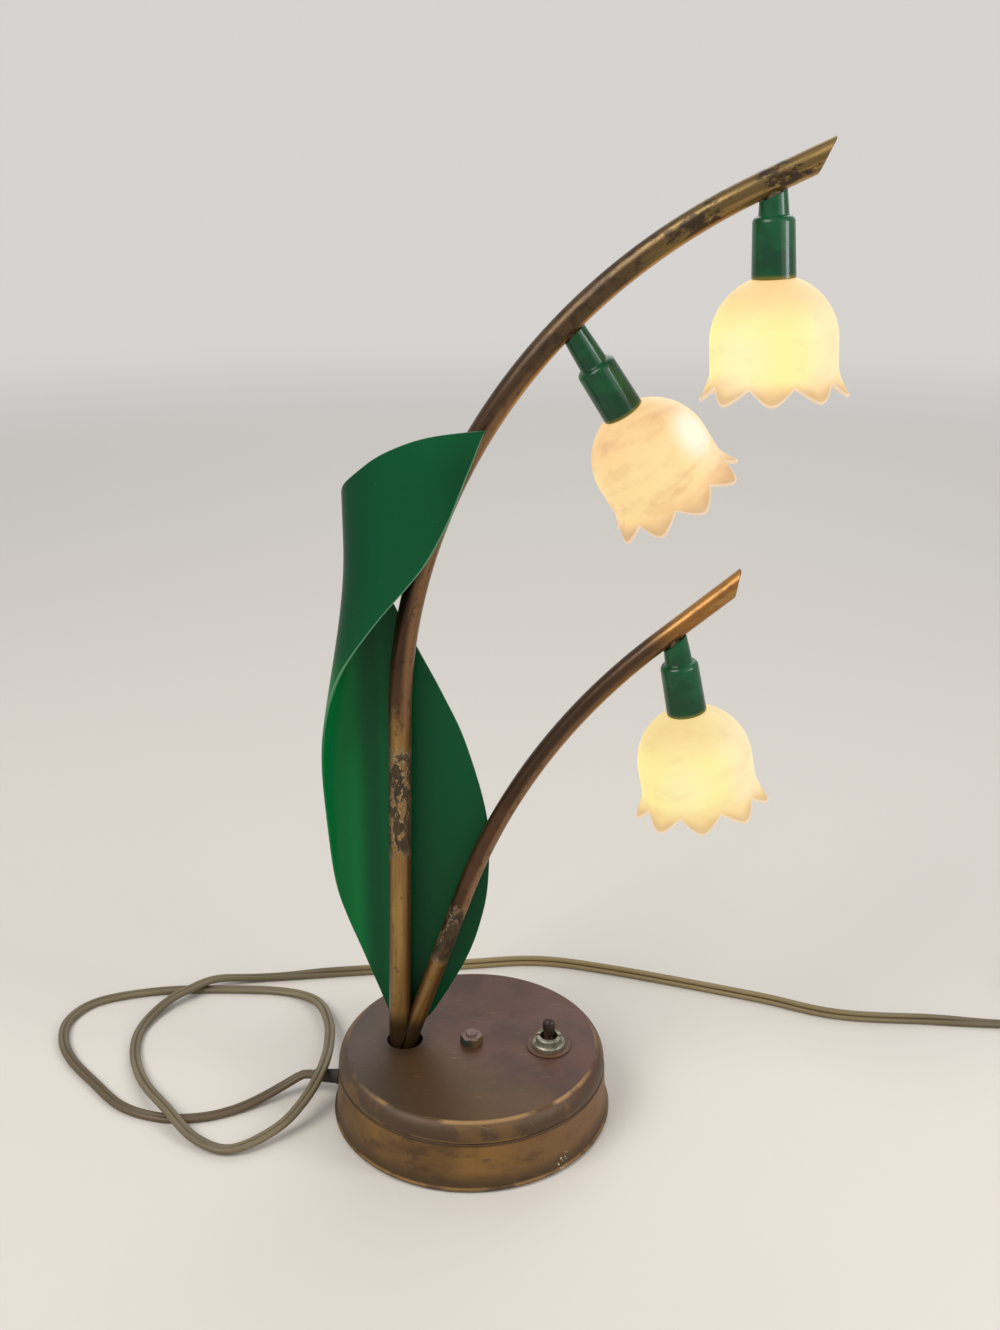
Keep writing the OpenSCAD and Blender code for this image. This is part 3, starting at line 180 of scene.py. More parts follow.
def edit(piece=None):
    if piece:
        take(piece)
    bpy.ops.object.mode_set(mode="EDIT")
    bpy.ops.mesh.select_all(action="SELECT")


def settle(piece, angle):
    """Leaves edit mode with clean outward faces, smooth but for edges sharper than the angle."""
    if piece.mode == "EDIT":
        bpy.ops.mesh.select_all(action="SELECT")
        bpy.ops.mesh.remove_doubles(threshold=1e-6)
        bpy.ops.mesh.normals_make_consistent(inside=False)
    take(piece)
    bpy.ops.object.transform_apply(location=True, rotation=True, scale=True)
    bpy.ops.object.shade_smooth_by_angle(angle=math.radians(angle))
    return piece


def modify(piece, kind, **settings):
    take(piece)
    m = piece.modifiers.new(kind.title(), kind)
    for key, value in settings.items():
        setattr(m, key, value)
    bpy.ops.object.modifier_apply(modifier=m.name)


def drawn(name, points):
    """An open outline, extruded point by point from one vertex; it stays in edit mode."""
    nothing_selected()
    bpy.ops.mesh.primitive_plane_add(size=0.001, location=points[0])
    piece = bpy.context.object
    piece.name = name
    bpy.ops.object.transform_apply(location=True)
    edit()
    bpy.ops.mesh.merge(type="CENTER")
    for here, there in zip(points, points[1:]):
        move = [b - a for a, b in zip(here, there)]
        bpy.ops.mesh.extrude_vertices_move(TRANSFORM_OT_translate={"value": move})
    return piece


def turned(name, outline, steps, angle):
    """A lathe form: an outline of (radius, height) spun round the Z axis."""
    piece = drawn(name, [(r, 0, z) for r, z in outline])
    bpy.ops.mesh.select_all(action="SELECT")
    bpy.ops.mesh.spin(steps=steps, angle=2 * math.pi, center=(0, 0, 0), axis=(0, 0, 1))
    return settle(piece, angle)


def arc(cx, cy, r, a0, a1, n):
    """Points on a circle from one angle to another, in degrees."""
    turn = [math.radians(a0 + (a1 - a0) * i / n) for i in range(n + 1)]
    return [(cx + r * math.cos(a), cy + r * math.sin(a)) for a in turn]


def smooth(t):
    """0 below 0, 1 above 1, smooth between them."""
    t = min(max(t, 0), 1)
    return t * t * (3 - 2 * t)


def from_frame(node, finish, slot, angle, bevel=0):
    """A node's own form, merged to one skin and smoothed, with its edges eased."""
    piece = nodes[node].copy()
    piece.data = nodes[node].data.copy()
    for key in list(piece.keys()):
        del piece[key]
    piece.parent = None
    piece.name = node + "_made"
    scene.collection.objects.link(piece)
    edit(piece)
    bpy.ops.mesh.remove_doubles(threshold=2e-6)
    bpy.ops.mesh.dissolve_limited(angle_limit=math.radians(1))
    settle(piece, angle)
    if bevel:
        modify(piece, "BEVEL", width=bevel, segments=3, limit_method="ANGLE", angle_limit=math.radians(40))
        bpy.ops.object.shade_smooth_by_angle(angle=math.radians(angle))
    return stand_in(piece, finish, slot, node)


def painted(piece, finish):
    piece.data.materials.clear()
    piece.data.materials.append(finish.material)


def stand_in(piece, finish, slot, *replaced, body="lamp"):
    painted(piece, finish)
    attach(piece, body)
    if replaced:
        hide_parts(*replaced)
    return piece


def note_places(piece, name, places):
    """Keeps a place of its own for each vertex, so that a pattern follows the surface."""
    attribute = piece.data.attributes.new(name, "FLOAT_VECTOR", "POINT")
    attribute.data.foreach_set("vector", np.array(places, np.float32).ravel())


def vertices(piece):
    return np.array([v.co for v in piece.data.vertices], float)


# ---------------------------------------------------------------- the cord
CORD_W, CORD_T, GROOVE_T = 0.0064, 0.0034, 0.0018
LOW = CORD_T / 2
EXIT_X, EXIT_Z = -0.09031, 0.012
ROUTE_STEP = 0.004
# The coil winds in for COIL_IN turns and out again on top for COIL_OUT; it climbs as COIL_RISE says.
COIL_AT, COIL_R, COIL_TOP_R, COIL_PITCH = (0.378, 0.136), 0.039, 0.042, 0.007
COIL_IN, COIL_OUT, COIL_Z, COIL_LAYER, COIL_STEPS = 1.25, 1.0, 0.0025, 0.004, 64
COIL_RISE = (0.28, 0.3)
PLUG_Z, PLUG_RISE = 0.00685, 0.023
PLUG_TAIL = (0.004, 0.008, 0.012, 0.0175, 0.023, 0.0285, 0.034)
# Between these distances from its exit the cord stands on its edge, turned by EDGE_TURN degrees.
EDGE_TURN, EDGE_FROM, EDGE_TO, EDGE_OVER = 64, 0.8, 1.212, 0.055

cord_route = [
    (EXIT_X, 0, EXIT_Z), (EXIT_X + 0.00005 - CORD_W, 0, EXIT_Z), (-0.108, -0.005, 0.007),
    (-0.119, -0.012, 0.0034), (-0.132, -0.0213, 0.0019), (-0.149, -0.029, LOW), (-0.171, -0.031, LOW),
    (-0.196, -0.023, LOW), (-0.219, -0.003, LOW), (-0.240, 0.018, LOW), (-0.252, 0.038, LOW),
    (-0.255, 0.059, LOW), (-0.243, 0.079, LOW), (-0.208, 0.093, LOW), (-0.165, 0.098, LOW),
    (-0.129, 0.098, 0.0018), (-0.107, 0.087, 0.0036),
    (-0.094, 0.061, 0.0076), (-0.087, 0.028, 0.0135), (-0.085, -0.005, 0.019), (-0.091, -0.025, 0.0135),
    (-0.103, -0.041, 0.0066), (-0.125, -0.056, 0.0032), (-0.147, -0.049, 0.0038), (-0.168, -0.029, 0.0064),
    (-0.190, -0.002, 0.0034), (-0.204, 0.026, 0.0018), (-0.208, 0.052, 0.0019), (-0.200, 0.076, 0.0044),
    (-0.188, 0.090, 0.0062), (-0.174, 0.103, 0.0059), (-0.148, 0.112, 0.0026), (-0.087, 0.124, LOW),
    (-0.019, 0.137, LOW), (0.030, 0.145, LOW), (0.081, 0.137, LOW), (0.168, 0.114, LOW), (0.219, 0.098, LOW),
    (0.282, 0.097, LOW), (COIL_AT[0] - CORD_W, COIL_AT[1] - COIL_R, COIL_Z),
]


def spline(p0, p1, p2, p3, t):
    """A smooth curve from p1 to p2 that heads from p0 and for p3."""
    bend = 2 * p0 - 5 * p1 + 4 * p2 - p3
    return 0.5 * (2 * p1 + (p2 - p0) * t + bend * t * t + (3 * p1 - p0 - 3 * p2 + p3) * t**3)


def sampled(route, step):
    r = [np.array(p, float) for p in route]
    out, last = [], len(r) - 1
    for i in range(last):
        n = max(round(float(np.linalg.norm(r[i + 1] - r[i])) / step), 1)
        ends = r[max(i - 1, 0)], r[i], r[i + 1], r[min(i + 2, last)]
        out += [spline(*ends, k / n) for k in range(n)]
    return out + [r[last]]


def coil_point(t):
    inner = COIL_R - COIL_PITCH * COIL_IN
    r = COIL_R - COIL_PITCH * t if t < COIL_IN else inner + (COIL_TOP_R - inner) * (t - COIL_IN) / COIL_OUT
    a = math.radians(360 * t - 90)
    z = COIL_Z + COIL_LAYER * smooth((t - COIL_IN + COIL_RISE[0]) / COIL_RISE[1])
    return np.array([COIL_AT[0] + r * math.cos(a), COIL_AT[1] + r * math.sin(a), z])


def edgeways(run):
    """How far the cord is turned up on its edge, in radians: flat in loops and coil, steep between."""
    up, down = smooth((run - EDGE_FROM) / EDGE_OVER), smooth((run - EDGE_TO) / EDGE_OVER)
    return math.radians(EDGE_TURN) * up * (1 - down)


def cord_line():
    """The middle of the cord from its exit, along the table, round the coil and up to the plug."""
    line = [np.array([p[0], p[1], max(p[2], LOW)]) for p in sampled(cord_route, ROUTE_STEP)]
    run = np.cumsum([0] + [float(np.linalg.norm(b - a)) for a, b in zip(line, line[1:])])
    line = [p + np.array([0, 0, (CORD_W - CORD_T) / 2 * math.sin(edgeways(d))]) for p, d in zip(line, run)]
    line += [coil_point(i / COIL_STEPS) for i in range(int(COIL_STEPS * (COIL_IN + COIL_OUT)) + 1)]
    end = line[-1]
    for d in PLUG_TAIL:
        line.append(end + np.array([0, d, (PLUG_Z - end[2]) * smooth(d / PLUG_RISE)]))
    return line


def twin_section():
    """Two round conductors side by side, with a groove between them, as (across, up)."""
    right = arc((CORD_W - CORD_T) / 2, 0, CORD_T / 2, -118, 118, 10)
    left = [(-x, -y) for x, y in right]
    return right + [(0, GROOVE_T / 2)] + left + [(0, -GROOVE_T / 2)]


def cord_finish():
    f = Finish("cord covering", IOR=1.5, Coat_Weight=0.15, Coat_Roughness=0.3)
    run = f.place("run")
    across, _, along = f.parts(run)
    seam = f.fall(across.size(), 0.0001, 0.0007)
    worn = f.step(f.cloud(run, 14, 4, 0.6, (30, 30, 1)), 0.52, 0.68)
    fine = f.cloud(run, 900, 2, 0.6, (1, 1, 0.15))
    colour = f.mix(tint(94, 82, 56), tint(115, 102, 73), f.step(f.cloud(run, 9, 3), 0.4, 0.6))
    colour = f.mix(colour, tint(74, 60, 36), worn * 0.7)
    # Painted shadow of the base: the cord is darker over its first 10 to 24 cm from the exit.
    colour = f.mix(colour, tint(76, 57, 30), f.fall(along + 0.03 * (worn - 0.5), 0.1, 0.24) * 0.75)
    # Lighter from about 0.82 to 1.25 m along the cord, with a golden brown groove there.
    lighter_stretch = f.step(along, 0.82, 0.92) * f.fall(along, 1.1, 1.25)
    colour = f.mix(colour, tint(140, 122, 80), lighter_stretch * 0.75)
    colour = f.mix(colour, f.mix(tint(52, 43, 25), tint(74, 48, 14), lighter_stretch), seam * (0.6 + 0.35 * lighter_stretch))
    f.set(Base_Color=colour, Roughness=0.42 + 0.2 * fine)
    f.bump(fine, 0.00008, 0.5)
    return f


def make_cord():
    line, section = cord_line(), twin_section()
    places, runs, length = [], [], 0.0
    for i, p in enumerate(line):
        way = line[min(i + 1, len(line) - 1)] - line[max(i - 1, 0)]
        side = np.cross(way / np.linalg.norm(way), (0, 0, 1))
        side /= np.linalg.norm(side)
        up = np.cross(side, way / np.linalg.norm(way))
        length += float(np.linalg.norm(p - line[i - 1])) if i else 0
        c, s = math.cos(edgeways(length)), math.sin(edgeways(length))
        for a, b in section:
            places.append(p + (a * c + b * s) * side + (b * c - a * s) * up)
            runs.append((a, b, length))
    n, rows = len(section), len(line)
    faces = [
        (i * n + k, i * n + (k + 1) % n, (i + 1) * n + (k + 1) % n, (i + 1) * n + k)
        for i in range(rows - 1) for k in range(n)
    ]
    faces += [tuple(range(n - 1, -1, -1)), tuple((rows - 1) * n + k for k in range(n))]
    mesh = bpy.data.meshes.new("flat_twin_cord")
    mesh.from_pydata([tuple(p) for p in places], [], faces)
    cord = bpy.data.objects.new("flat_twin_cord", mesh)
    scene.collection.objects.link(cord)
    note_places(cord, "run", runs)
    edit(cord)
    settle(cord, 60)
    stand_in(cord, cord_finish(), "wire covering", "cord_run", "cord_coil")
    return cord, line, length


cord, cord_points, cord_length = make_cord()


# ---------------------------------------------------------------- finishes of this lamp
# The base's sizes, by which its darker places, worn edges and painted highlights lie.
BASE_H, LID_R, SEAM, SHEET = 0.0392, 0.0741, 0.0284, 0.0012
SHOULDER_IN, SHOULDER_DROP = 0.0045, 0.0082
CORNER = LID_R - SHOULDER_IN
STEM_HOLE_X, STEM_HOLE_R, SWITCH_X, SWITCH_HOLE_R = -0.0375, 0.010, 0.0432, 0.0061
SKIRT_R, SKIRT_LIP, SKIRT_ROUND = LID_R + 0.0004, 0.008, 0.0012
RIM_X, RIM_Z, BEAD = 0.0765, 0.0018, 0.001
NICKED, STEM_FOOT_DARKER, NUT_TOP = (0.0535, -0.0543, 0.0065), (0.049, 0.062), (0.0434, 0.044)


def aged(name, base, over, dark, metal, rough, scale, relief=0.00005):
    """A plain used surface: two tones in soft clouds, darker specks, and a fine grain."""
    f = Finish(name, Metallic=metal)
    at = f.place()
    tones = f.step(f.cloud(at, scale, 4, 0.6), 0.38, 0.62)
    specks = f.step(f.cloud(at, scale * 7, 2, 0.5), 0.62, 0.7)
    grain = f.cloud(at, scale * 14, 3, 0.6)
    colour = f.mix(f.mix(base, over, tones), dark, specks * 0.6)
    f.set(Base_Color=colour, Roughness=rough - 0.08 + 0.2 * grain)
    f.bump(grain, relief, 0.6)
    return f


def lid_patina():
    """Reddish brown, olive at the front left, grey at the left, darker round the holes, a worn edge with a
    painted highlight that is brightest at the front, and a painted highlight along the lower edge.
    """
    f = Finish("reddish brown lid", Metallic=0.3, IOR=1.5)
    at = f.place()
    x, y, z = f.parts(at)
    far = reach(x, y)
    soft = f.cloud(at, 17, 4, 0.55)
    spread = f.cloud(at, 34, 5, 0.6, shift=(3, 1, 2))
    fine = f.cloud(at, 420, 4, 0.65)
    colour = f.mix(tint(82, 49, 36), tint(64, 38, 27), f.step(spread, 0.42, 0.62))
    front_left = f.step(-1 * y - 0.9 * x + 0.03 * (soft - 0.5), -0.012, 0.04)
    colour = f.mix(colour, tint(76, 53, 28), front_left * 0.85)
    colour = f.mix(colour, tint(90, 64, 30), front_left * f.step(soft, 0.5, 0.62) * 0.6)
    left = f.step(-1 * x - 0.3 * y + 0.02 * (spread - 0.5), 0.034, 0.06)
    colour = f.mix(colour, tint(64, 55, 48), left * 0.65)
    # Darker round the stem hole, and round the switch hole below.
    darker_round_stems = f.fall(reach(x - STEM_HOLE_X, y), 0.0115, 0.02)
    colour = f.mix(colour, tint(46, 34, 22), darker_round_stems * 0.6)
    ringed = f.fall(reach(x - SWITCH_X, y), 0.0125, 0.0165)
    colour = f.mix(colour, tint(62, 40, 28), ringed * 0.5)
    # A worn edge with a painted highlight: a light line along the crisp edge, broken up by clouds and
    # brightest at the front.
    edge = f.step(far, CORNER - 0.0012, CORNER - 0.0002) * f.fall(far, CORNER + 0.0006, CORNER + 0.002)
    front = f.step(-1 * y + 0.3 * x, 0.02, 0.06)
    colour = f.mix(colour, tint(156, 122, 80), edge * f.step(spread, 0.44, 0.58) * (0.35 + 0.6 * front))
    shoulder = f.step(far, CORNER + 0.0006, CORNER + 0.0026)
    colour = f.mix(colour, tint(70, 50, 30), shoulder * 0.75)
    colour = f.mix(colour, tint(112, 82, 40), shoulder * f.step(spread, 0.52, 0.62) * 0.6)
    # Painted highlight: a golden line along the lid's lower edge, above the seam.
    lower = f.fall(z, SEAM + 0.0001, SEAM + 0.0021) * f.step(f.cloud(at, 60, 3), 0.44, 0.56)
    colour = f.mix(colour, tint(146, 108, 54), lower * 0.6)
    colour = f.mix(colour, tint(40, 28, 20), f.step(fine, 0.6, 0.72) * 0.35)
    stretched = f.node("Mapping", {"Vector": at, "Scale": (1, 14, 1), "Rotation": (0, 0, 0.7)})
    scratch = f.step(f.cloud(stretched, 90, 2), 0.69, 0.73)
    colour = f.mix(colour, tint(150, 124, 100), scratch * 0.3)
    f.set(Base_Color=colour, Roughness=0.34 + 0.22 * soft + 0.1 * fine)
    f.bump(fine + 0.6 * soft, 0.00012, 0.35)
    return f


def skirt_brass():
    """Golden brown with darker patches, dark at the seam and the foot, bright nicks at the front right."""
    f = Finish("golden brown skirt", Metallic=0.45, IOR=1.5)
    at = f.place()
    x, y, z = f.parts(at)
    soft = f.cloud(at, 20, 4, 0.6)
    patch = f.cloud(at, 48, 5, 0.65, (1, 1, 1.8), (5, 2, 0))
    fine = f.cloud(at, 380, 4, 0.7)
    colour = f.mix(tint(106, 76, 38), tint(132, 97, 47), f.step(soft, 0.42, 0.62))
    colour = f.mix(colour, tint(76, 54, 34), f.step(patch, 0.5, 0.66) * 0.8)
    colour = f.mix(colour, tint(108, 76, 54), f.step(x, 0.0, 0.06) * f.step(soft, 0.4, 0.6) * 0.6)
    foot = f.fall(z + 0.006 * (patch - 0.5), 0.004, 0.013)
    colour = f.mix(colour, tint(66, 50, 32), foot * 0.75)
    colour = f.mix(colour, tint(150, 116, 68), f.fall(z, 0.0026, 0.0034) * f.step(patch, 0.42, 0.55) * 0.5)
    seam = f.step(z, SEAM - 0.0022, SEAM - 0.0008)
    colour = f.mix(colour, tint(44, 30, 16), seam * 0.8)
    colour = f.mix(colour, tint(52, 36, 20), f.step(fine, 0.6, 0.7) * 0.4)
    nicks = f.step(f.cloud(at, 700, 2, 0.5, (1, 1, 0.5)), 0.6, 0.66)
    near = f.fall(reach(x - NICKED[0], y - NICKED[1], z - NICKED[2]), 0.002, 0.0065)
    colour = f.mix(colour, tint(214, 204, 184), nicks * near)
    f.set(Base_Color=colour, Roughness=0.4 + 0.2 * patch + 0.08 * fine)
    f.bump(fine + soft, 0.00016, 0.35)
    return f


def stem_brass(name, r, flaked, bare, golden, tip, shift):
    """Old lacquered brass. 'unbent' says how far across, to the side and along the stem a point lies.

    The lacquer is rubbed off up to 'bare' along the stem and chipped between the two values of 'flaked'. It
    turns golden, with the tint 'tip', between the first two values of 'golden'; the third is how dusky it is.
    """
    f = Finish(name, IOR=1.5)
    way = f.place("unbent")
    below, _, along = f.parts(way)
    under = below * (1 / r)
    flakes = f.cloud(way, 95, 5, 0.7, (1, 1, 0.6), shift)
    specks = f.cloud(way, 420, 3, 0.6, (1, 1, 0.5), shift)
    streaks = f.cloud(way, 300, 3, 0.6, (1, 1, 0.05), shift)
    soft = f.cloud(way, 30, 3, 0.5, (1, 1, 0.4), shift)
    brass = f.mix(tint(132, 100, 52), tint(152, 118, 64), f.step(streaks, 0.42, 0.6))
    rubbed = f.mix(brass, tint(96, 66, 36), f.step(under.size() + 0.6 * (soft - 0.5), 0.3, 0.8) * 0.9)
    rubbed = f.mix(rubbed, tint(88, 62, 34), f.step(specks, 0.6, 0.68) * 0.6)
    brown = f.mix(tint(76, 50, 30), tint(56, 37, 21), f.step(soft, 0.42, 0.6))
    brown = f.mix(brown, tint(98, 68, 42), f.step(streaks, 0.54, 0.66) * 0.5)
    # Worn lacquer and a painted highlight: the underside lighter tan, broken up by clouds, more so near the
    # foot.
    worn = f.step(under + 0.7 * (soft - 0.5) + 0.5 * (streaks - 0.5), 0.0, 0.5)
    brown = f.mix(brown, tint(134, 98, 66), worn * (0.7 + 0.3 * f.fall(along, 0.09, 0.16)))
    brown = f.mix(brown, tint(46, 31, 19), f.step(specks, 0.56, 0.64) * 0.5)
    colour = f.mix(rubbed, brown, f.step(along + 0.05 * (flakes - 0.5), bare, bare + 0.012))
    patch = f.step(along, flaked[0], flaked[0] + 0.012) * f.fall(along, flaked[1] - 0.014, flaked[1])
    loose = flakes + 0.18 * (patch - 0.85) + 0.12 * (specks - 0.5)
    chipped, rim = f.step(loose, 0.47, 0.49) * patch, f.step(loose, 0.45, 0.47) * patch
    colour = f.mix(colour, tint(190, 170, 136), rim * 0.45)
    colour = f.mix(colour, f.mix(tint(50, 38, 20), tint(74, 54, 30), f.step(specks, 0.46, 0.6)), chipped)
    dusky = f.mix(tint(78, 60, 36), tint(58, 44, 28), f.step(flakes, 0.46, 0.56))
    gold_from, gold_full, dusk = golden
    gold = f.mix(tip, f.mix(tip, tint(168, 136, 78), 0.5), f.step(streaks, 0.46, 0.6))
    gold = f.mix(gold, dusky, f.step(0.6 * flakes + 0.4 * specks, 0.49, 0.56) * dusk)
    nearing = f.step(along + 0.04 * (soft - 0.5), gold_from - 0.09, gold_from - 0.02)
    colour = f.mix(colour, dusky, nearing * dusk)
    colour = f.mix(colour, gold, f.step(along + 0.05 * (soft - 0.5), gold_from, gold_full))
    # Painted glow of the lit bells: warm gold on the stem's underside, from a little before the gold tip on.
    painted_bell_glow = f.step(under, 0.62, 0.95) * f.step(along, gold_from - 0.12, gold_from - 0.06)
    colour = f.mix(colour, tint(196, 146, 86), painted_bell_glow * 0.8)
    # Darker near the foot, just above the lid.
    _, _, height = f.parts(f.place())
    colour = f.mix(colour, tint(50, 36, 21), f.fall(height + 0.008 * (soft - 0.5), *STEM_FOOT_DARKER) * 0.9)
    rough = 0.3 + 0.2 * chipped + 0.25 * (specks - 0.4)
    f.set(Base_Color=colour, Metallic=0.62 - 0.3 * chipped, Roughness=rough)
    f.bump(0.5 * specks + chipped, 0.0001, 0.5)
    return f


def leaf_green():
    """Green paint with painted light, shade and highlights. 'sheet' says how far round and how high a point
    lies, and its share of the width.
    """
    f = Finish("green leaf paint", IOR=1.5, Coat_Weight=0.05, Coat_Roughness=0.1, Specular_IOR_Level=0.13)
    s, z, across = f.parts(f.place("sheet"))
    at = f.place()
    soft = f.cloud(at, 9, 2, 0.4)
    fine = f.cloud(at, 500, 3, 0.6)
    flap = f.step(z, 0.24, 0.28) * f.step(s, 0.018, 0.03)
    # Painted light: the blade lighter towards its left part, darker to the right.
    colour = f.mix(tint(0, 72, 38), tint(2, 88, 46), f.step(s, -0.012, 0.008))
    colour = f.mix(colour, tint(4, 106, 50), f.step(s, 0.015, 0.024))
    # Painted shade: a darker band on the blade beside the long stem.
    painted_stem_shade = f.step(s, 0.006, 0.011) * f.fall(s, 0.0135, 0.021)
    colour = f.mix(colour, tint(14, 60, 34), painted_stem_shade * 0.55)
    # Painted shade: the rolled flap darker, lighter across part of its curl.
    folded = f.mix(tint(0, 58, 34), tint(0, 74, 40), f.step(s, 0.034, 0.06))
    folded = f.mix(folded, tint(0, 60, 32), f.step(s, 0.075, 0.1))
    colour = f.mix(colour, folded, flap)
    colour = f.mix(colour, tint(8, 104, 52), f.step(soft, 0.52, 0.7) * 0.3)
    colour = f.mix(colour, tint(60, 110, 70), f.step(fine, 0.68, 0.74) * 0.2)
    # Painted highlight: a light line along the flap's free edge.
    rim = f.step(across, 0.984, 0.994) * f.step(z, 0.2, 0.26)
    colour = f.mix(colour, tint(104, 150, 118), rim * 0.7)
    f.set(Base_Color=colour, Roughness=0.3 + 0.12 * soft)
    f.bump(soft * 3 + 0.2 * fine, 0.0004, 0.25)
    return f


def cover_green():
    """Glossy dark green, with a painted glow of the lit shade in olive at the lower edge. 'own' is a place in
    the cover's own frame.
    """
    f = Finish(
        "dark green socket cover", IOR=1.5, Coat_Weight=0.3, Coat_Roughness=0.04, Specular_IOR_Level=0.2
    )
    at = f.place()
    soft = f.cloud(at, 70, 3, 0.5)
    fine = f.cloud(at, 700, 2, 0.5)
    colour = f.mix(tint(0, 57, 30), tint(2, 74, 39), f.step(soft, 0.4, 0.62))
    # Painted glow of the lit shade: olive along the cover's lower edge.
    _, _, up = f.parts(f.place("own"))
    colour = f.mix(colour, tint(104, 98, 28), f.fall(up, 0.0006, 0.0022) * 0.9)
    colour = f.mix(colour, tint(60, 100, 62), f.step(fine, 0.7, 0.76) * 0.3)
    f.set(Base_Color=colour, Roughness=0.24 + 0.12 * soft)
    f.bump(fine, 0.00004, 0.4)
    return f


def bell_glass(name, heart, edge, hemmed, vein, spot, shift):
    """Lit alabaster glass. 'bell' is a place in the bell's own frame, 'hem' how far it lies from the edge.

    'spot' is the brightest place: where it lies, how far it spreads and how strong it is. 'vein' is how
    strong the veins are, and 'heart', 'edge' and 'hemmed' are the tints at mid-height, at the top and below.
    """
    f = Finish(name, IOR=1.45, Specular_IOR_Level=0.25)
    at = f.place("bell")
    x, y, z = f.parts(at)
    down = -1 * z
    hem, _, _ = f.parts(f.place("hem"))
    soft = f.cloud(at, 26, 3, 0.5, shift=shift)
    blots = f.cloud(at, 70, 4, 0.55, (1, 1, 1.6), shift)
    waves = f.cloud(at, 32, 4, 0.6, (1, 1, 2.8), shift)
    start, end = down + 0.012 * (soft - 0.5), down + 0.014 * (soft - 0.5)
    glow = f.step(start, 0.004, 0.022) * f.fall(end, 0.038, 0.047)
    colour = f.mix(edge, heart, glow)
    rosy = f.step(x + 0.3 * y, 0.004, 0.026)
    colour = f.mix(colour, tint(252, 232, 194), rosy * 0.65)
    low = f.step(down + 0.01 * (soft - 0.5), 0.041, 0.05)
    colour = f.mix(colour, hemmed, low)
    veins = f.step(blots, 0.5, 0.68) * 0.6 + f.step(waves, 0.52, 0.68) * 0.7
    colour = f.mix(colour, tint(232, 182, 128), veins * vein)
    spot_x, spot_y, spot_down, spread, bright = spot
    away = reach(x - spot_x, y - spot_y, down - spot_down)
    colour = f.mix(colour, tint(255, 255, 232), f.fall(away, spread * 0.2, spread) * bright)
    tips = f.fall(hem, 0.001, 0.008) * f.step(down, 0.043, 0.05)
    colour = f.mix(colour, tint(200, 160, 116), tips * 0.7)
    rim = f.fall(hem, 0.0004, 0.0012)
    colour = f.mix(colour, tint(248, 226, 202), rim * 0.6)
    f.set(
        Base_Color=f.mix(tint(104, 94, 76), tint(84, 72, 56), veins * 0.5),
        Emission_Color=colour,
        Emission_Strength=0.86,
        Roughness=0.44 + 0.14 * soft,
    )
    f.bump(soft + 0.3 * blots, 0.0003, 0.3)
    return f


def bulb_glow():
    f = Finish("lit bulb glass", Roughness=0.2, Coat_Weight=0.3, Base_Color=tint(200, 180, 140))
    at = f.place()
    glow = f.mix(tint(255, 236, 170), tint(255, 250, 214), f.step(f.cloud(at, 80), 0.4, 0.6))
    f.set(Emission_Color=glow, Emission_Strength=1.6)
    return f


def nickel_finish():
    f = Finish("aged nickel", Metallic=0.65)
    at = f.place()
    dull = f.step(f.cloud(at, 160, 4, 0.6), 0.46, 0.62)
    fine = f.cloud(at, 1400, 3, 0.6)
    colour = f.mix(tint(136, 133, 118), tint(98, 95, 80), dull * 0.8)
    colour = f.mix(colour, tint(66, 56, 42), f.step(fine, 0.6, 0.7) * 0.5)
    f.set(Base_Color=colour, Roughness=0.44 + 0.2 * dull)
    f.bump(fine, 0.00005, 0.5)
    return f


def lever_brown():
    f = Finish("brown lever", IOR=1.5, Coat_Weight=0.15, Coat_Roughness=0.15, Specular_IOR_Level=0.3)
    at = f.place()
    marble = f.step(f.cloud(at, 240, 4, 0.6, (1, 1, 0.4)), 0.42, 0.64)
    f.set(Base_Color=f.mix(tint(32, 19, 12), tint(56, 34, 23), marble), Roughness=0.36 + 0.12 * marble)
    f.bump(f.cloud(at, 1500, 2), 0.00003, 0.5)
    return f


def nut_finish():
    f = Finish("weathered nut with painted shading", Metallic=0.35)
    at = f.place()
    x, _, z = f.parts(at)
    soft = f.cloud(at, 260, 3, 0.6)
    # Painted shading: darker green on the nut's left, lighter brown on its right, and a lighter pink top.
    painted_side_shading = f.mix(tint(44, 54, 42), tint(104, 82, 50), f.step(x + 0.002 * (soft - 0.5), -0.001, 0.003))
    colour = f.mix(painted_side_shading, tint(112, 92, 84), f.step(z, *NUT_TOP))
    colour = f.mix(colour, tint(60, 56, 44), f.step(soft, 0.54, 0.64) * 0.5)
    f.set(Base_Color=colour, Roughness=0.5 + 0.15 * soft)
    f.bump(soft, 0.0001, 0.4)
    return f


lid_f, skirt_f = lid_patina(), skirt_brass()
leaf_f, cover_f = leaf_green(), cover_green()
nickel, lever_f, bulb_f, nut_f = nickel_finish(), lever_brown(), bulb_glow(), nut_finish()
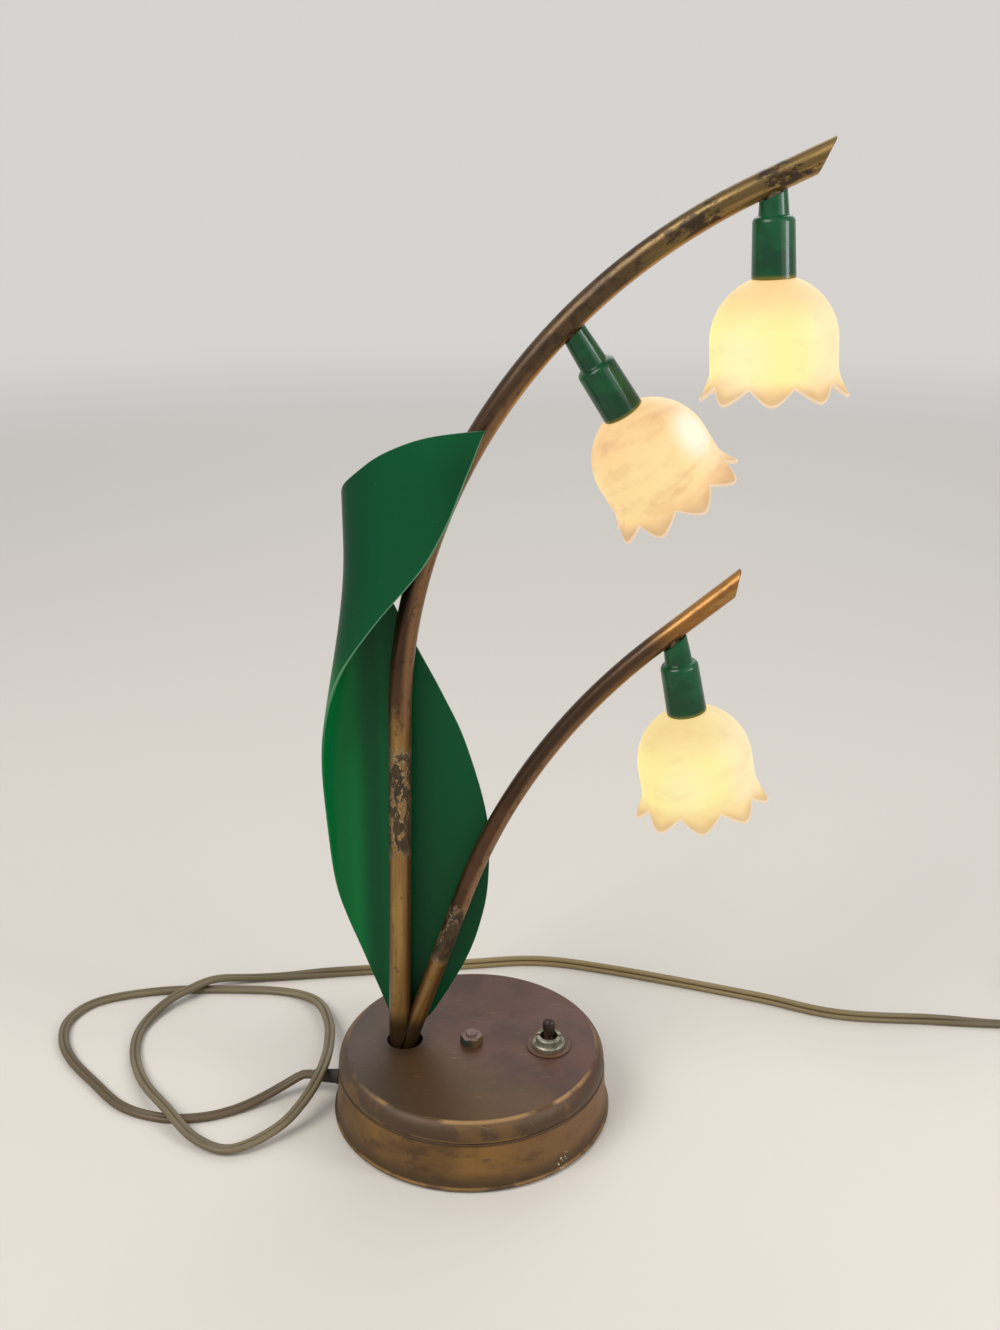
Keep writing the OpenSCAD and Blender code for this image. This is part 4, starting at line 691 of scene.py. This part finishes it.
# After the three tints: how metallic it is, its roughness, the scale of its clouds, and its relief.
bronze = aged("dull bronze nut", tint(78, 76, 54), tint(116, 100, 80), tint(40, 42, 30), 0.6, 0.45, 130)
steel = aged("plain steel", tint(150, 148, 142), tint(128, 126, 120), tint(92, 84, 72), 0.9, 0.38, 90)
brass = aged("plain brass", tint(190, 156, 92), tint(168, 132, 70), tint(110, 84, 44), 0.9, 0.34, 110)
iron = aged("cast iron", tint(66, 66, 68), tint(52, 51, 52), tint(36, 34, 33), 0.4, 0.7, 70, 0.0003)
felt = aged("green felt", tint(56, 74, 50), tint(46, 62, 42), tint(34, 46, 32), 0.0, 0.95, 300, 0.0004)
china = aged("socket porcelain", tint(226, 220, 206), tint(214, 206, 188), tint(180, 168, 146), 0.0, 0.3, 60)
ring_f = aged("cream shade ring", tint(208, 188, 140), tint(196, 174, 124), tint(150, 128, 84), 0.0, 0.5, 80)
cap_f = aged("bulb cap metal", tint(196, 192, 180), tint(178, 172, 158), tint(120, 112, 96), 0.85, 0.32, 90)
washer_f = aged("faded washer", tint(82, 58, 44), tint(96, 70, 52), tint(56, 40, 30), 0.3, 0.55, 160)
rubber = aged("dark rubber", tint(44, 36, 30), tint(54, 46, 38), tint(30, 25, 22), 0.0, 0.7, 120, 0.0001)
tie_f = aged("black tie", tint(34, 33, 33), tint(44, 43, 42), tint(24, 24, 24), 0.0, 0.6, 120)
plug_f = aged("brown plug", tint(58, 42, 30), tint(70, 52, 38), tint(38, 28, 20), 0.0, 0.42, 90, 0.00008)
wire_f = aged("wire covering inside", tint(140, 124, 84), tint(122, 106, 68), tint(90, 76, 46), 0.0, 0.5, 90)


# ---------------------------------------------------------------- base
def cut_away(piece, cutter):
    modify(piece, "BOOLEAN", object=cutter, operation="DIFFERENCE", solver="EXACT")
    bpy.data.objects.remove(cutter)


def make_lid():
    """A flat top with a crisp edge, a rounded shoulder, a straight side, and holes for stems and switch."""
    r = (SHOULDER_IN**2 + SHOULDER_DROP**2) / (2 * SHOULDER_IN)
    cz, inner_r = BASE_H - SHOULDER_DROP, r - SHEET
    outer_top = math.degrees(math.asin(SHOULDER_DROP / r))
    inner_top = math.degrees(math.asin((SHOULDER_DROP - SHEET) / inner_r))
    outline = [(0, BASE_H), (0.035, BASE_H), (0.062, BASE_H), (CORNER - 0.0009, BASE_H)]
    outline += [(CORNER - 0.0004, BASE_H - 0.00006), (CORNER - 0.0001, BASE_H - 0.0002)]
    outline += arc(LID_R - r, cz, r, outer_top, 0, 12)[1:]
    outline += [(LID_R, SEAM + 0.0005), (LID_R - 0.0003, SEAM + 0.0002), (LID_R - SHEET, SEAM + 0.0002)]
    outline += [(LID_R - SHEET, cz)] + arc(LID_R - r, cz, inner_r, 8, inner_top, 7) + [(0, BASE_H - SHEET)]
    lid = turned("lid_with_patina", outline, 180, 40)
    for x, hole_r in ((STEM_HOLE_X, STEM_HOLE_R), (SWITCH_X, SWITCH_HOLE_R)):
        nothing_selected()
        bpy.ops.mesh.primitive_cylinder_add(vertices=64, radius=hole_r, depth=0.006, location=(x, 0, BASE_H))
        cut_away(lid, bpy.context.object)
    take(lid)
    bpy.ops.object.shade_smooth_by_angle(angle=math.radians(30))
    return stand_in(lid, lid_f, "lid paint", "base_lid")


def make_skirt():
    """A flaring band with a lip under the lid and a rolled rim on the table."""
    top, lip = SEAM - SKIRT_ROUND, SKIRT_R - SKIRT_LIP
    flare = (RIM_X - SKIRT_R) / (SEAM - RIM_Z) ** 2
    wall = [(SKIRT_R + flare * (SEAM - z) ** 2, z) for z in np.linspace(top, RIM_Z + BEAD + 0.0001, 14)]
    outline = [(lip, SEAM)] + arc(SKIRT_R - SKIRT_ROUND, top, SKIRT_ROUND, 90, 0, 6) + wall[1:]
    outline += arc(RIM_X, RIM_Z, BEAD, 70, -170, 14)
    outline += [(RIM_X - SHEET - 0.0001, RIM_Z + 0.0008)] + [(r - SHEET, z) for r, z in reversed(wall)]
    outline += [(lip, SEAM - SHEET), (lip, SEAM)]
    skirt = turned("skirt_with_rolled_rim", outline, 180, 45)
    return stand_in(skirt, skirt_f, "skirt brass", "base_skirt")


make_lid()
make_skirt()


# ---------------------------------------------------------------- stems
# A start is (x, z, lean). A leg is (length, 0) where it is straight and (radius, degrees) where it bends.
LONG = {"start": (-0.0409, 0.014, 1.37), "legs": [(0.2236, 0), (0.292, 63.61), (0.030, 0)], "r": 0.006}
SHORT = {"start": (-0.0351, 0.040, 18.86), "legs": [(0.1008, 0), (0.328, 30.72), (0.0485, 0)], "r": 0.005}
SHORT_SINK, TIP_CUT, TIP_SPARE, TUBE_WALL, BEND_STEP = 0.014, 42, 0.012, 0.001, 1.2


def leg_length(leg):
    return leg[0] if leg[1] == 0 else leg[0] * math.radians(leg[1])


def go(at, leg):
    """The place and lean at the end of a leg."""
    x, z, a = at
    if leg[1] == 0:
        return x + leg[0] * math.sin(math.radians(a)), z + leg[0] * math.cos(math.radians(a)), a
    r, b = leg[0], a + leg[1]
    h0, h1 = math.radians(a), math.radians(b)
    return x + r * (math.cos(h0) - math.cos(h1)), z + r * (math.sin(h1) - math.sin(h0)), b


def along(stem, d):
    """The place and lean at a distance along a stem."""
    at = stem["start"]
    for i, leg in enumerate(stem["legs"]):
        if d <= leg_length(leg) or i == len(stem["legs"]) - 1:
            return go(at, (d, 0) if leg[1] == 0 else (leg[0], math.degrees(d / leg[0])))
        at, d = go(at, leg), d - leg_length(leg)


def unbent(stem, p):
    """Where a point would lie if the stem were straightened: across it, to its side, and along it."""
    at, done, best = stem["start"], 0.0, None
    for leg in stem["legs"]:
        a = math.radians(at[2])
        dx, dz, l = p[0] - at[0], p[2] - at[1], leg_length(leg)
        if leg[1] == 0:
            s, off = dx * math.sin(a) + dz * math.cos(a), dx * math.cos(a) - dz * math.sin(a)
        else:
            cx, cz = dx - leg[0] * math.cos(a), dz + leg[0] * math.sin(a)
            s, off = leg[0] * (math.atan2(cz, -cx) - a), leg[0] - math.hypot(cx, cz)
        miss = max(-s, s - l, 0) + abs(off)
        if best is None or miss < best[0]:
            best = (miss, off, p[1], done + s)
        at, done = go(at, leg), done + l
    return best[1:]


def make_stem(name, stem, sink):
    """A circle drawn along the legs, cut at a slant at the tip and given a wall."""
    x, z, a = stem["start"]
    lean = math.radians(a)
    foot = (x - sink * math.sin(lean), 0, z - sink * math.cos(lean))
    nothing_selected()
    bpy.ops.mesh.primitive_circle_add(vertices=48, radius=stem["r"], location=foot, rotation=(0, lean, 0))
    piece = bpy.context.object
    piece.name = name
    bpy.ops.object.transform_apply(location=True, rotation=True)
    edit()
    at, first = stem["start"], True
    for leg in stem["legs"]:
        h = math.radians(at[2])
        if leg[1] == 0:
            l = leg[0] + (sink if first else TIP_SPARE)
            value = (l * math.sin(h), 0, l * math.cos(h))
            bpy.ops.mesh.extrude_region_move(TRANSFORM_OT_translate={"value": value})
        else:
            centre = (at[0] + leg[0] * math.cos(h), 0, at[1] - leg[0] * math.sin(h))
            steps = round(leg[1] / BEND_STEP)
            bpy.ops.mesh.spin(steps=steps, angle=-math.radians(leg[1]), center=centre, axis=(0, 1, 0))
        at, first = go(at, leg), False
    cut = math.radians(at[2] - TIP_CUT)
    slant = (math.cos(cut), 0, -math.sin(cut))
    bpy.ops.mesh.select_all(action="SELECT")
    bpy.ops.mesh.bisect(plane_co=(at[0], 0, at[1]), plane_no=slant, clear_outer=True)
    settle(piece, 40)
    modify(piece, "SOLIDIFY", thickness=TUBE_WALL, offset=-1)
    note_places(piece, "unbent", [unbent(stem, v) for v in vertices(piece)])
    take(piece)
    bpy.ops.object.shade_smooth_by_angle(angle=math.radians(40))
    return piece


long_f = stem_brass(
    "brass of the long stem", LONG["r"], flaked=(0.136, 0.212), bare=0.214, golden=(0.465, 0.55, 1.0),
    tip=tint(104, 84, 46), shift=(0, 0, 0),
)
short_f = stem_brass(
    "brass of the short stem", SHORT["r"], flaked=(0.048, 0.1), bare=0.062, golden=(0.27, 0.3, 0.3),
    tip=tint(142, 95, 44), shift=(4, 2, 7),
)
stand_in(make_stem("long_stem_tube", LONG, 0.0), long_f, "stem brass", "long_stem")
stand_in(make_stem("short_stem_tube", SHORT, SHORT_SINK), short_f, "stem brass", "short_stem")


# ---------------------------------------------------------------- leaf
CURL_R, CURL_A, LEAF_T = 0.014, 186, 0.0012
FOOT_Y, BACK_Y, BACK_FROM, BACK_OVER = 0.00675, 0.0095, 0.045, 0.075
LEAF_X, DISH, DISH_W = -0.040, 0.0022, 0.050
CURL_OUT, CURL_IN, CURL_FROM, CURL_OVER = 0.0375, 0.0175, 0.190, 0.140
# Each station is (height, right edge, left edge), the edges measured round the sheet from LEAF_X.
LEAF_STATIONS = [
    (0.018, -0.00575, 0.00275), (0.038, -0.00575, 0.00275), (0.056, -0.019, 0.008), (0.088, -0.0365, 0.020),
    (0.113, -0.045, 0.0295), (0.138, -0.049, 0.0355), (0.175, -0.0485, 0.0395), (0.217, -0.0375, 0.0435),
    (0.244, -0.0257, 0.046), (0.268, -0.0135, 0.0505), (0.293, -0.001, 0.060), (0.320, 0.011, 0.077),
    (0.341, 0.021, 0.0882), (0.355, 0.032, 0.094), (0.364, 0.0425, 0.0975), (0.373, 0.054, 0.1012),
    (0.3795, 0.068, 0.1036), (0.3835, 0.083, 0.1052), (0.386, 0.1048, 0.1062),
]


def station(u):
    """The height and the two edges at a place between stations."""
    p = [np.array(s) for s in LEAF_STATIONS]
    last = len(p) - 1
    if u <= 1:
        return p[0] + (p[1] - p[0]) * u
    i = min(int(u), last - 1)
    return spline(p[i - 1], p[i], p[i + 1], p[min(i + 2, last)], u - i)


def leaf_point(z, s):
    """A point of the sheet: behind the stems while s is small, then round the curl and in front of them."""
    y = FOOT_Y + (BACK_Y - FOOT_Y) * smooth((z - BACK_FROM) / BACK_OVER)
    xc = LEAF_X - CURL_OUT + CURL_IN * smooth((z - CURL_FROM) / CURL_OVER) + CURL_R
    flat, turn = LEAF_X - xc, CURL_R * math.radians(CURL_A)
    if s < flat:
        return LEAF_X - s, y - DISH * (min(s, 0) / DISH_W) ** 2, z
    a = math.radians(min((s - flat) / turn, 1) * CURL_A)
    ca, sa, run = math.cos(a), math.sin(a), max(s - flat - turn, 0)
    return xc - CURL_R * sa - run * ca, y - CURL_R * (1 - ca) - run * sa, z


def make_leaf():
    nothing_selected()
    bpy.ops.mesh.primitive_grid_add(x_subdivisions=64, y_subdivisions=120, size=1)
    leaf = bpy.context.object
    leaf.name = "rolled_leaf"
    sheet = []
    for v in leaf.data.vertices:
        z, right, left = station((v.co.y + 0.5) * (len(LEAF_STATIONS) - 1))
        across = v.co.x + 0.5
        s = right + (left - right) * across
        v.co = leaf_point(z, s)
        sheet.append((s, z, across))
    note_places(leaf, "sheet", sheet)
    modify(leaf, "SOLIDIFY", thickness=LEAF_T, offset=0)
    modify(leaf, "BEVEL", width=0.0003, segments=2, limit_method="ANGLE", angle_limit=math.radians(60))
    bpy.ops.object.shade_smooth_by_angle(angle=math.radians(60))
    return stand_in(leaf, leaf_f, "leaf paint", "leaf")


make_leaf()


# ---------------------------------------------------------------- flowers
SHADE_H, DOME_R, PETAL_R, WALL, HEM_T = 0.053, 0.0293, 0.034, 0.0022, 0.0013
SEAT_R, SEAT_Z, SHADE_HOLE_R, FLARE_H, FLARE_ROWS = 0.0104, -0.0003, 0.0083, 0.012, 14
PETALS, NOTCH, BLUNT, PETAL_BULGE = 9, 0.007, 0.24, 0.0007
COVER_L, COVER_R, COVER_LOW_R, COVER_T, COVER_ROUND = 0.02725, 0.0096, 0.0101, 0.0006, 0.003
NECK_R, NECK_LOW_R, NIPPLE_ROOM, STEM_GAP, CUTTER = 0.00585, 0.0069, 0.0044, 0.0001, 0.05
LONG_L = sum(leg_length(l) for l in LONG["legs"])
SHORT_L = sum(leg_length(l) for l in SHORT["legs"])
# Each flower: its stem, how far along it hangs, its neck's length, its tilt, its lean and its petals' turn.
FLOWERS = {
    "top": (LONG, LONG_L - 0.0247, 0.0151, 3.5, -1.5, -17),
    "middle": (LONG, LONG_L - 0.1354, 0.0233, 32.4, 8.4, 8.5),
    "low": (SHORT, SHORT_L - 0.0392, 0.0167, 11, 1.65, -12),
}


def hanging(flower):
    """How a flower's own frame, with its origin at the cover's lower edge, lies in the room."""
    stem, d, neck, tilt, lean, phase = flower
    x, z, _ = along(stem, d)
    place = Matrix.Translation((x, 0, z))
    for a, axis in ((-tilt, "Y"), (lean, "X"), (phase, "Z")):
        place = place @ Matrix.Rotation(math.radians(a), 4, axis)
    return place @ Matrix.Translation((0, 0, -neck - COVER_L))


def petal_reach(angle):
    """How deep the edge reaches at an angle, and how far along a petal's half width it lies."""
    t = abs(((angle * PETALS / (2 * math.pi) + 0.5) % 1) - 0.5) * 2
    return SHADE_H - NOTCH * (math.hypot(t, BLUNT) - BLUNT) / (math.hypot(1, BLUNT) - BLUNT), t


def make_bell(name):
    """A dome with a straight wall and a flared hem, which is drawn out into petals and grows thinner."""
    dome = math.sqrt(DOME_R**2 - SEAT_R**2) - SEAT_Z
    first = math.degrees(math.asin(SEAT_R / DOME_R))
    flare = SHADE_H - FLARE_H
    outline = [(SHADE_HOLE_R, SEAT_Z), (SEAT_R - 0.0005, SEAT_Z)]
    outline += [(r, z - dome) for r, z in arc(0, 0, DOME_R, 90 - first, 0, 22)]
    outline += [(DOME_R, -d) for d in np.linspace(dome, flare, 8)[1:]]
    outline += [(DOME_R, -flare - FLARE_H * i / FLARE_ROWS) for i in range(1, FLARE_ROWS + 1)]
    bell = turned(name, outline, PETALS * 20, 60)
    hems = []
    for v in bell.data.vertices:
        angle = math.atan2(v.co.y, v.co.x)
        edge, t = petal_reach(angle)
        down = -v.co.z
        if down > flare:
            down = flare + (edge - flare) * (down - flare) / FLARE_H
            share = (down - flare) / FLARE_H
            r = DOME_R + (PETAL_R - DOME_R) * share**1.5 + PETAL_BULGE * share * (1 - 2 * t * t)
            v.co = (r * math.cos(angle), r * math.sin(angle), -down)
        hems.append((edge - down, 0, 0))
    note_places(bell, "hem", hems)
    note_places(bell, "bell", vertices(bell))
    thin = bell.vertex_groups.new(name="wall")
    for v in bell.data.vertices:
        thin.add([v.index], 1 - max(0, (-v.co.z - flare) / FLARE_H), "REPLACE")
    hem_share = HEM_T / WALL
    modify(bell, "SOLIDIFY", thickness=WALL, offset=-1, vertex_group="wall", thickness_vertex_group=hem_share)
    bell.vertex_groups.clear()
    modify(bell, "BEVEL", width=0.0006, segments=3, limit_method="ANGLE", angle_limit=math.radians(50))
    bpy.ops.object.shade_smooth_by_angle(angle=math.radians(60))
    return bell


bells = {
    "top": bell_glass(
        "top bell glass", tint(255, 246, 158), tint(252, 212, 146), tint(250, 208, 134),
        0.15, (-0.012, -0.03, 0.034, 0.024, 0.3), (0, 0, 0),
    ),
    "middle": bell_glass(
        "middle bell glass", tint(254, 221, 154), tint(250, 206, 142), tint(238, 192, 132),
        0.6, (0.022, -0.018, 0.022, 0.017, 1.0), (0.3, 0.1, 0.2),
    ),
    "low": bell_glass(
        "low bell glass", tint(255, 240, 156), tint(242, 216, 144), tint(248, 214, 138),
        0.15, (0.0, -0.03, 0.03, 0.02, 0.2), (0.7, 0.4, 0.9),
    ),
}


def make_cover(place, flower):
    """A turned cap with a narrower neck, cut off flat where it meets the stem."""
    stem, d, neck = flower[:3]
    r, edge, low, top = COVER_R, COVER_LOW_R, NECK_LOW_R, COVER_L + neck
    neck_foot, under = COVER_L + 0.0003, COVER_L - COVER_ROUND
    outline = [(edge - COVER_T, 0.002), (edge - COVER_T, 0), (edge - 0.0002, 0), (edge, 0.0003)]
    outline += arc(r - COVER_ROUND, under, COVER_ROUND, 0, 84, 9)
    outline += [(low + 0.0003, COVER_L - 0.0001), (low, neck_foot)]
    outline += [(NECK_R + (low - NECK_R) * k, top - (top - neck_foot) * k) for k in (0.75, 0.5, 0.25, 0)]
    outline += [(NIPPLE_ROOM, top), (NIPPLE_ROOM, under), (r - COVER_ROUND, under), (r - COVER_T, 0.018)]
    cover = turned("cover_of_" + place, outline + outline[:1], 72, 30)
    cover.data.transform(hanging(flower))
    x, z, a = along(stem, d)
    lean, away = math.radians(a), stem["r"] + STEM_GAP - CUTTER / 2
    nothing_selected()
    bpy.ops.mesh.primitive_cube_add(
        size=CUTTER, location=(x + away * math.cos(lean), 0, z - away * math.sin(lean)), rotation=(0, lean, 0)
    )
    cut_away(cover, bpy.context.object)
    back = hanging(flower).inverted()
    note_places(cover, "own", [tuple(back @ v.co) for v in cover.data.vertices])
    take(cover)
    bpy.ops.object.shade_smooth_by_angle(angle=math.radians(30))
    return stand_in(cover, cover_f, "cover plastic", "cover_" + place)


plain_bell = make_bell("plain_bell")
for place, flower in FLOWERS.items():
    bell = plain_bell.copy()
    bell.data = plain_bell.data.copy()
    bell.name = "bell_" + place
    scene.collection.objects.link(bell)
    bell.data.transform(hanging(flower))
    stand_in(bell, bells[place], "shade glass", "shade_" + place)
    make_cover(place, flower)
    from_frame("bulb_glass_" + place, bulb_f, "bulb glass", 60)
    from_frame("shade_ring_" + place, ring_f, "ring plastic", 30, 0.0003)
bpy.data.objects.remove(plain_bell)


# ---------------------------------------------------------------- small pieces on the base and the cord
from_frame("centre_nut", nut_f, "bolt brass", 25, 0.0002)
from_frame("centre_bolt", nut_f, "bolt brass", 25)
from_frame("switch_washer", washer_f, "washer paint", 30, 0.0002)
from_frame("switch_ring_nut", nickel, "nickel", 30, 0.0002)
from_frame("switch_bushing", brass, "inner brass", 30)
lever = from_frame("toggle_lever", lever_f, "bakelite", 40)
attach(lever, "toggle")
from_frame("strain_relief", rubber, "dark rubber", 30, 0.0003)
tie = from_frame("cord_tie", tie_f, "tie plastic", 30, 0.0002)
plug = from_frame("plug_body", plug_f, "plug plastic", 30, 0.0012)
pins = from_frame("plug_pins", brass, "inner brass", 40)

INSIDE = {
    steel: ["bottom_plate", "cord_clamp", "clamp_screws", "stem_set_screw", "lever_pin", "switch_lock_nut"],
    felt: ["felt_pad"],
    iron: ["counterweight"],
    bronze: ["bolt_spacer", "nipple_top", "nipple_middle", "nipple_low"],
    brass: ["terminal_screws", "switch_terminals"],
    china: ["socket_top", "socket_middle", "socket_low", "terminal_block"],
    cap_f: ["bulb_cap_top", "bulb_cap_middle", "bulb_cap_low"],
    bulb_f: ["bulb_filaments"],
    lever_f: ["switch_body"],
    wire_f: ["long_stem_wires", "short_stem_wires", "inner_cord", "base_wires"],
}
for finish, names in INSIDE.items():
    for name in names:
        painted(nodes[name], finish)


# ---------------------------------------------------------------- floor and light
WALL_TINT, FLOOR_TINT = tint(214, 211, 208), tint(214, 208, 200)
ROOM_LIGHT, ROOM_LEVEL = (0.93, 0.97, 1.0, 1), 0.42
FLOOR_R, FLOOR_Z, FADE_FROM, FADE_TO = 14, -0.0002, 0.8, 3.2


def backdrop():
    """A floor that fades into the colour of the room."""
    nothing_selected()
    bpy.ops.mesh.primitive_circle_add(vertices=96, radius=FLOOR_R, fill_type="NGON", location=(0, 0, FLOOR_Z))
    floor = bpy.context.object
    floor.name = "floor"
    f = Finish("pale floor", Roughness=0.9, Base_Color=FLOOR_TINT)
    x, y, _ = f.parts(f.place())
    glow = f.tree.nodes.new("ShaderNodeEmission")
    glow.inputs["Color"].default_value = WALL_TINT
    blend = f.tree.nodes.new("ShaderNodeMixShader")
    f.feed(blend.inputs[0], f.step(reach(x, y), FADE_FROM, FADE_TO))
    f.tree.links.new(f.surface.outputs[0], blend.inputs[1])
    f.tree.links.new(glow.outputs[0], blend.inputs[2])
    out = [n for n in f.tree.nodes if n.type == "OUTPUT_MATERIAL"][0]
    f.tree.links.new(blend.outputs[0], out.inputs[0])
    floor.data.materials.append(f.material)


def room():
    """A soft even light, seen by the eye and in shiny surfaces as the plain colour of the backdrop."""
    world = bpy.data.worlds.new("soft room")
    scene.world = world
    world.use_nodes = True
    tree = world.node_tree
    tree.nodes.clear()
    seen, light = (tree.nodes.new("ShaderNodeBackground") for _ in range(2))
    seen.inputs["Color"].default_value = WALL_TINT
    light.inputs["Color"].default_value = ROOM_LIGHT
    light.inputs["Strength"].default_value = ROOM_LEVEL
    path = tree.nodes.new("ShaderNodeLightPath")
    either = [tree.nodes.new("ShaderNodeMath") for _ in range(2)]
    for m in either:
        m.operation = "MAXIMUM"
    tree.links.new(path.outputs["Is Camera Ray"], either[0].inputs[0])
    tree.links.new(path.outputs["Is Glossy Ray"], either[0].inputs[1])
    tree.links.new(either[0].outputs[0], either[1].inputs[0])
    tree.links.new(path.outputs["Is Transmission Ray"], either[1].inputs[1])
    choose = tree.nodes.new("ShaderNodeMixShader")
    tree.links.new(either[1].outputs[0], choose.inputs[0])
    tree.links.new(light.outputs[0], choose.inputs[1])
    tree.links.new(seen.outputs[0], choose.inputs[2])
    out = tree.nodes.new("ShaderNodeOutputWorld")
    tree.links.new(choose.outputs[0], out.inputs[0])


def lamp(name, place, size, watts, colour, aim=(0, 0, 0.2)):
    nothing_selected()
    bpy.ops.object.light_add(type="AREA", location=place)
    light = bpy.context.object
    light.name = name
    light.data.size, light.data.energy, light.data.color = size, watts, colour
    light.rotation_euler = (Vector(aim) - Vector(place)).to_track_quat("-Z", "Y").to_euler()


backdrop()
room()
lamp("key", (-1.1, -1.0, 1.7), 1.2, 30, (1.0, 0.97, 0.93))
lamp("fill", (1.4, -0.9, 1.1), 1.4, 9, (1.0, 0.96, 0.92))
lamp("back", (0.2, 1.6, 1.6), 1.6, 12, (0.95, 0.97, 1.0))
lamp("window", (0.95, -0.3, 0.6), 0.3, 3, (0.95, 0.98, 1.0), (0.15, 0, 0.35))
scene.view_settings.view_transform = "Standard"

nothing_selected()
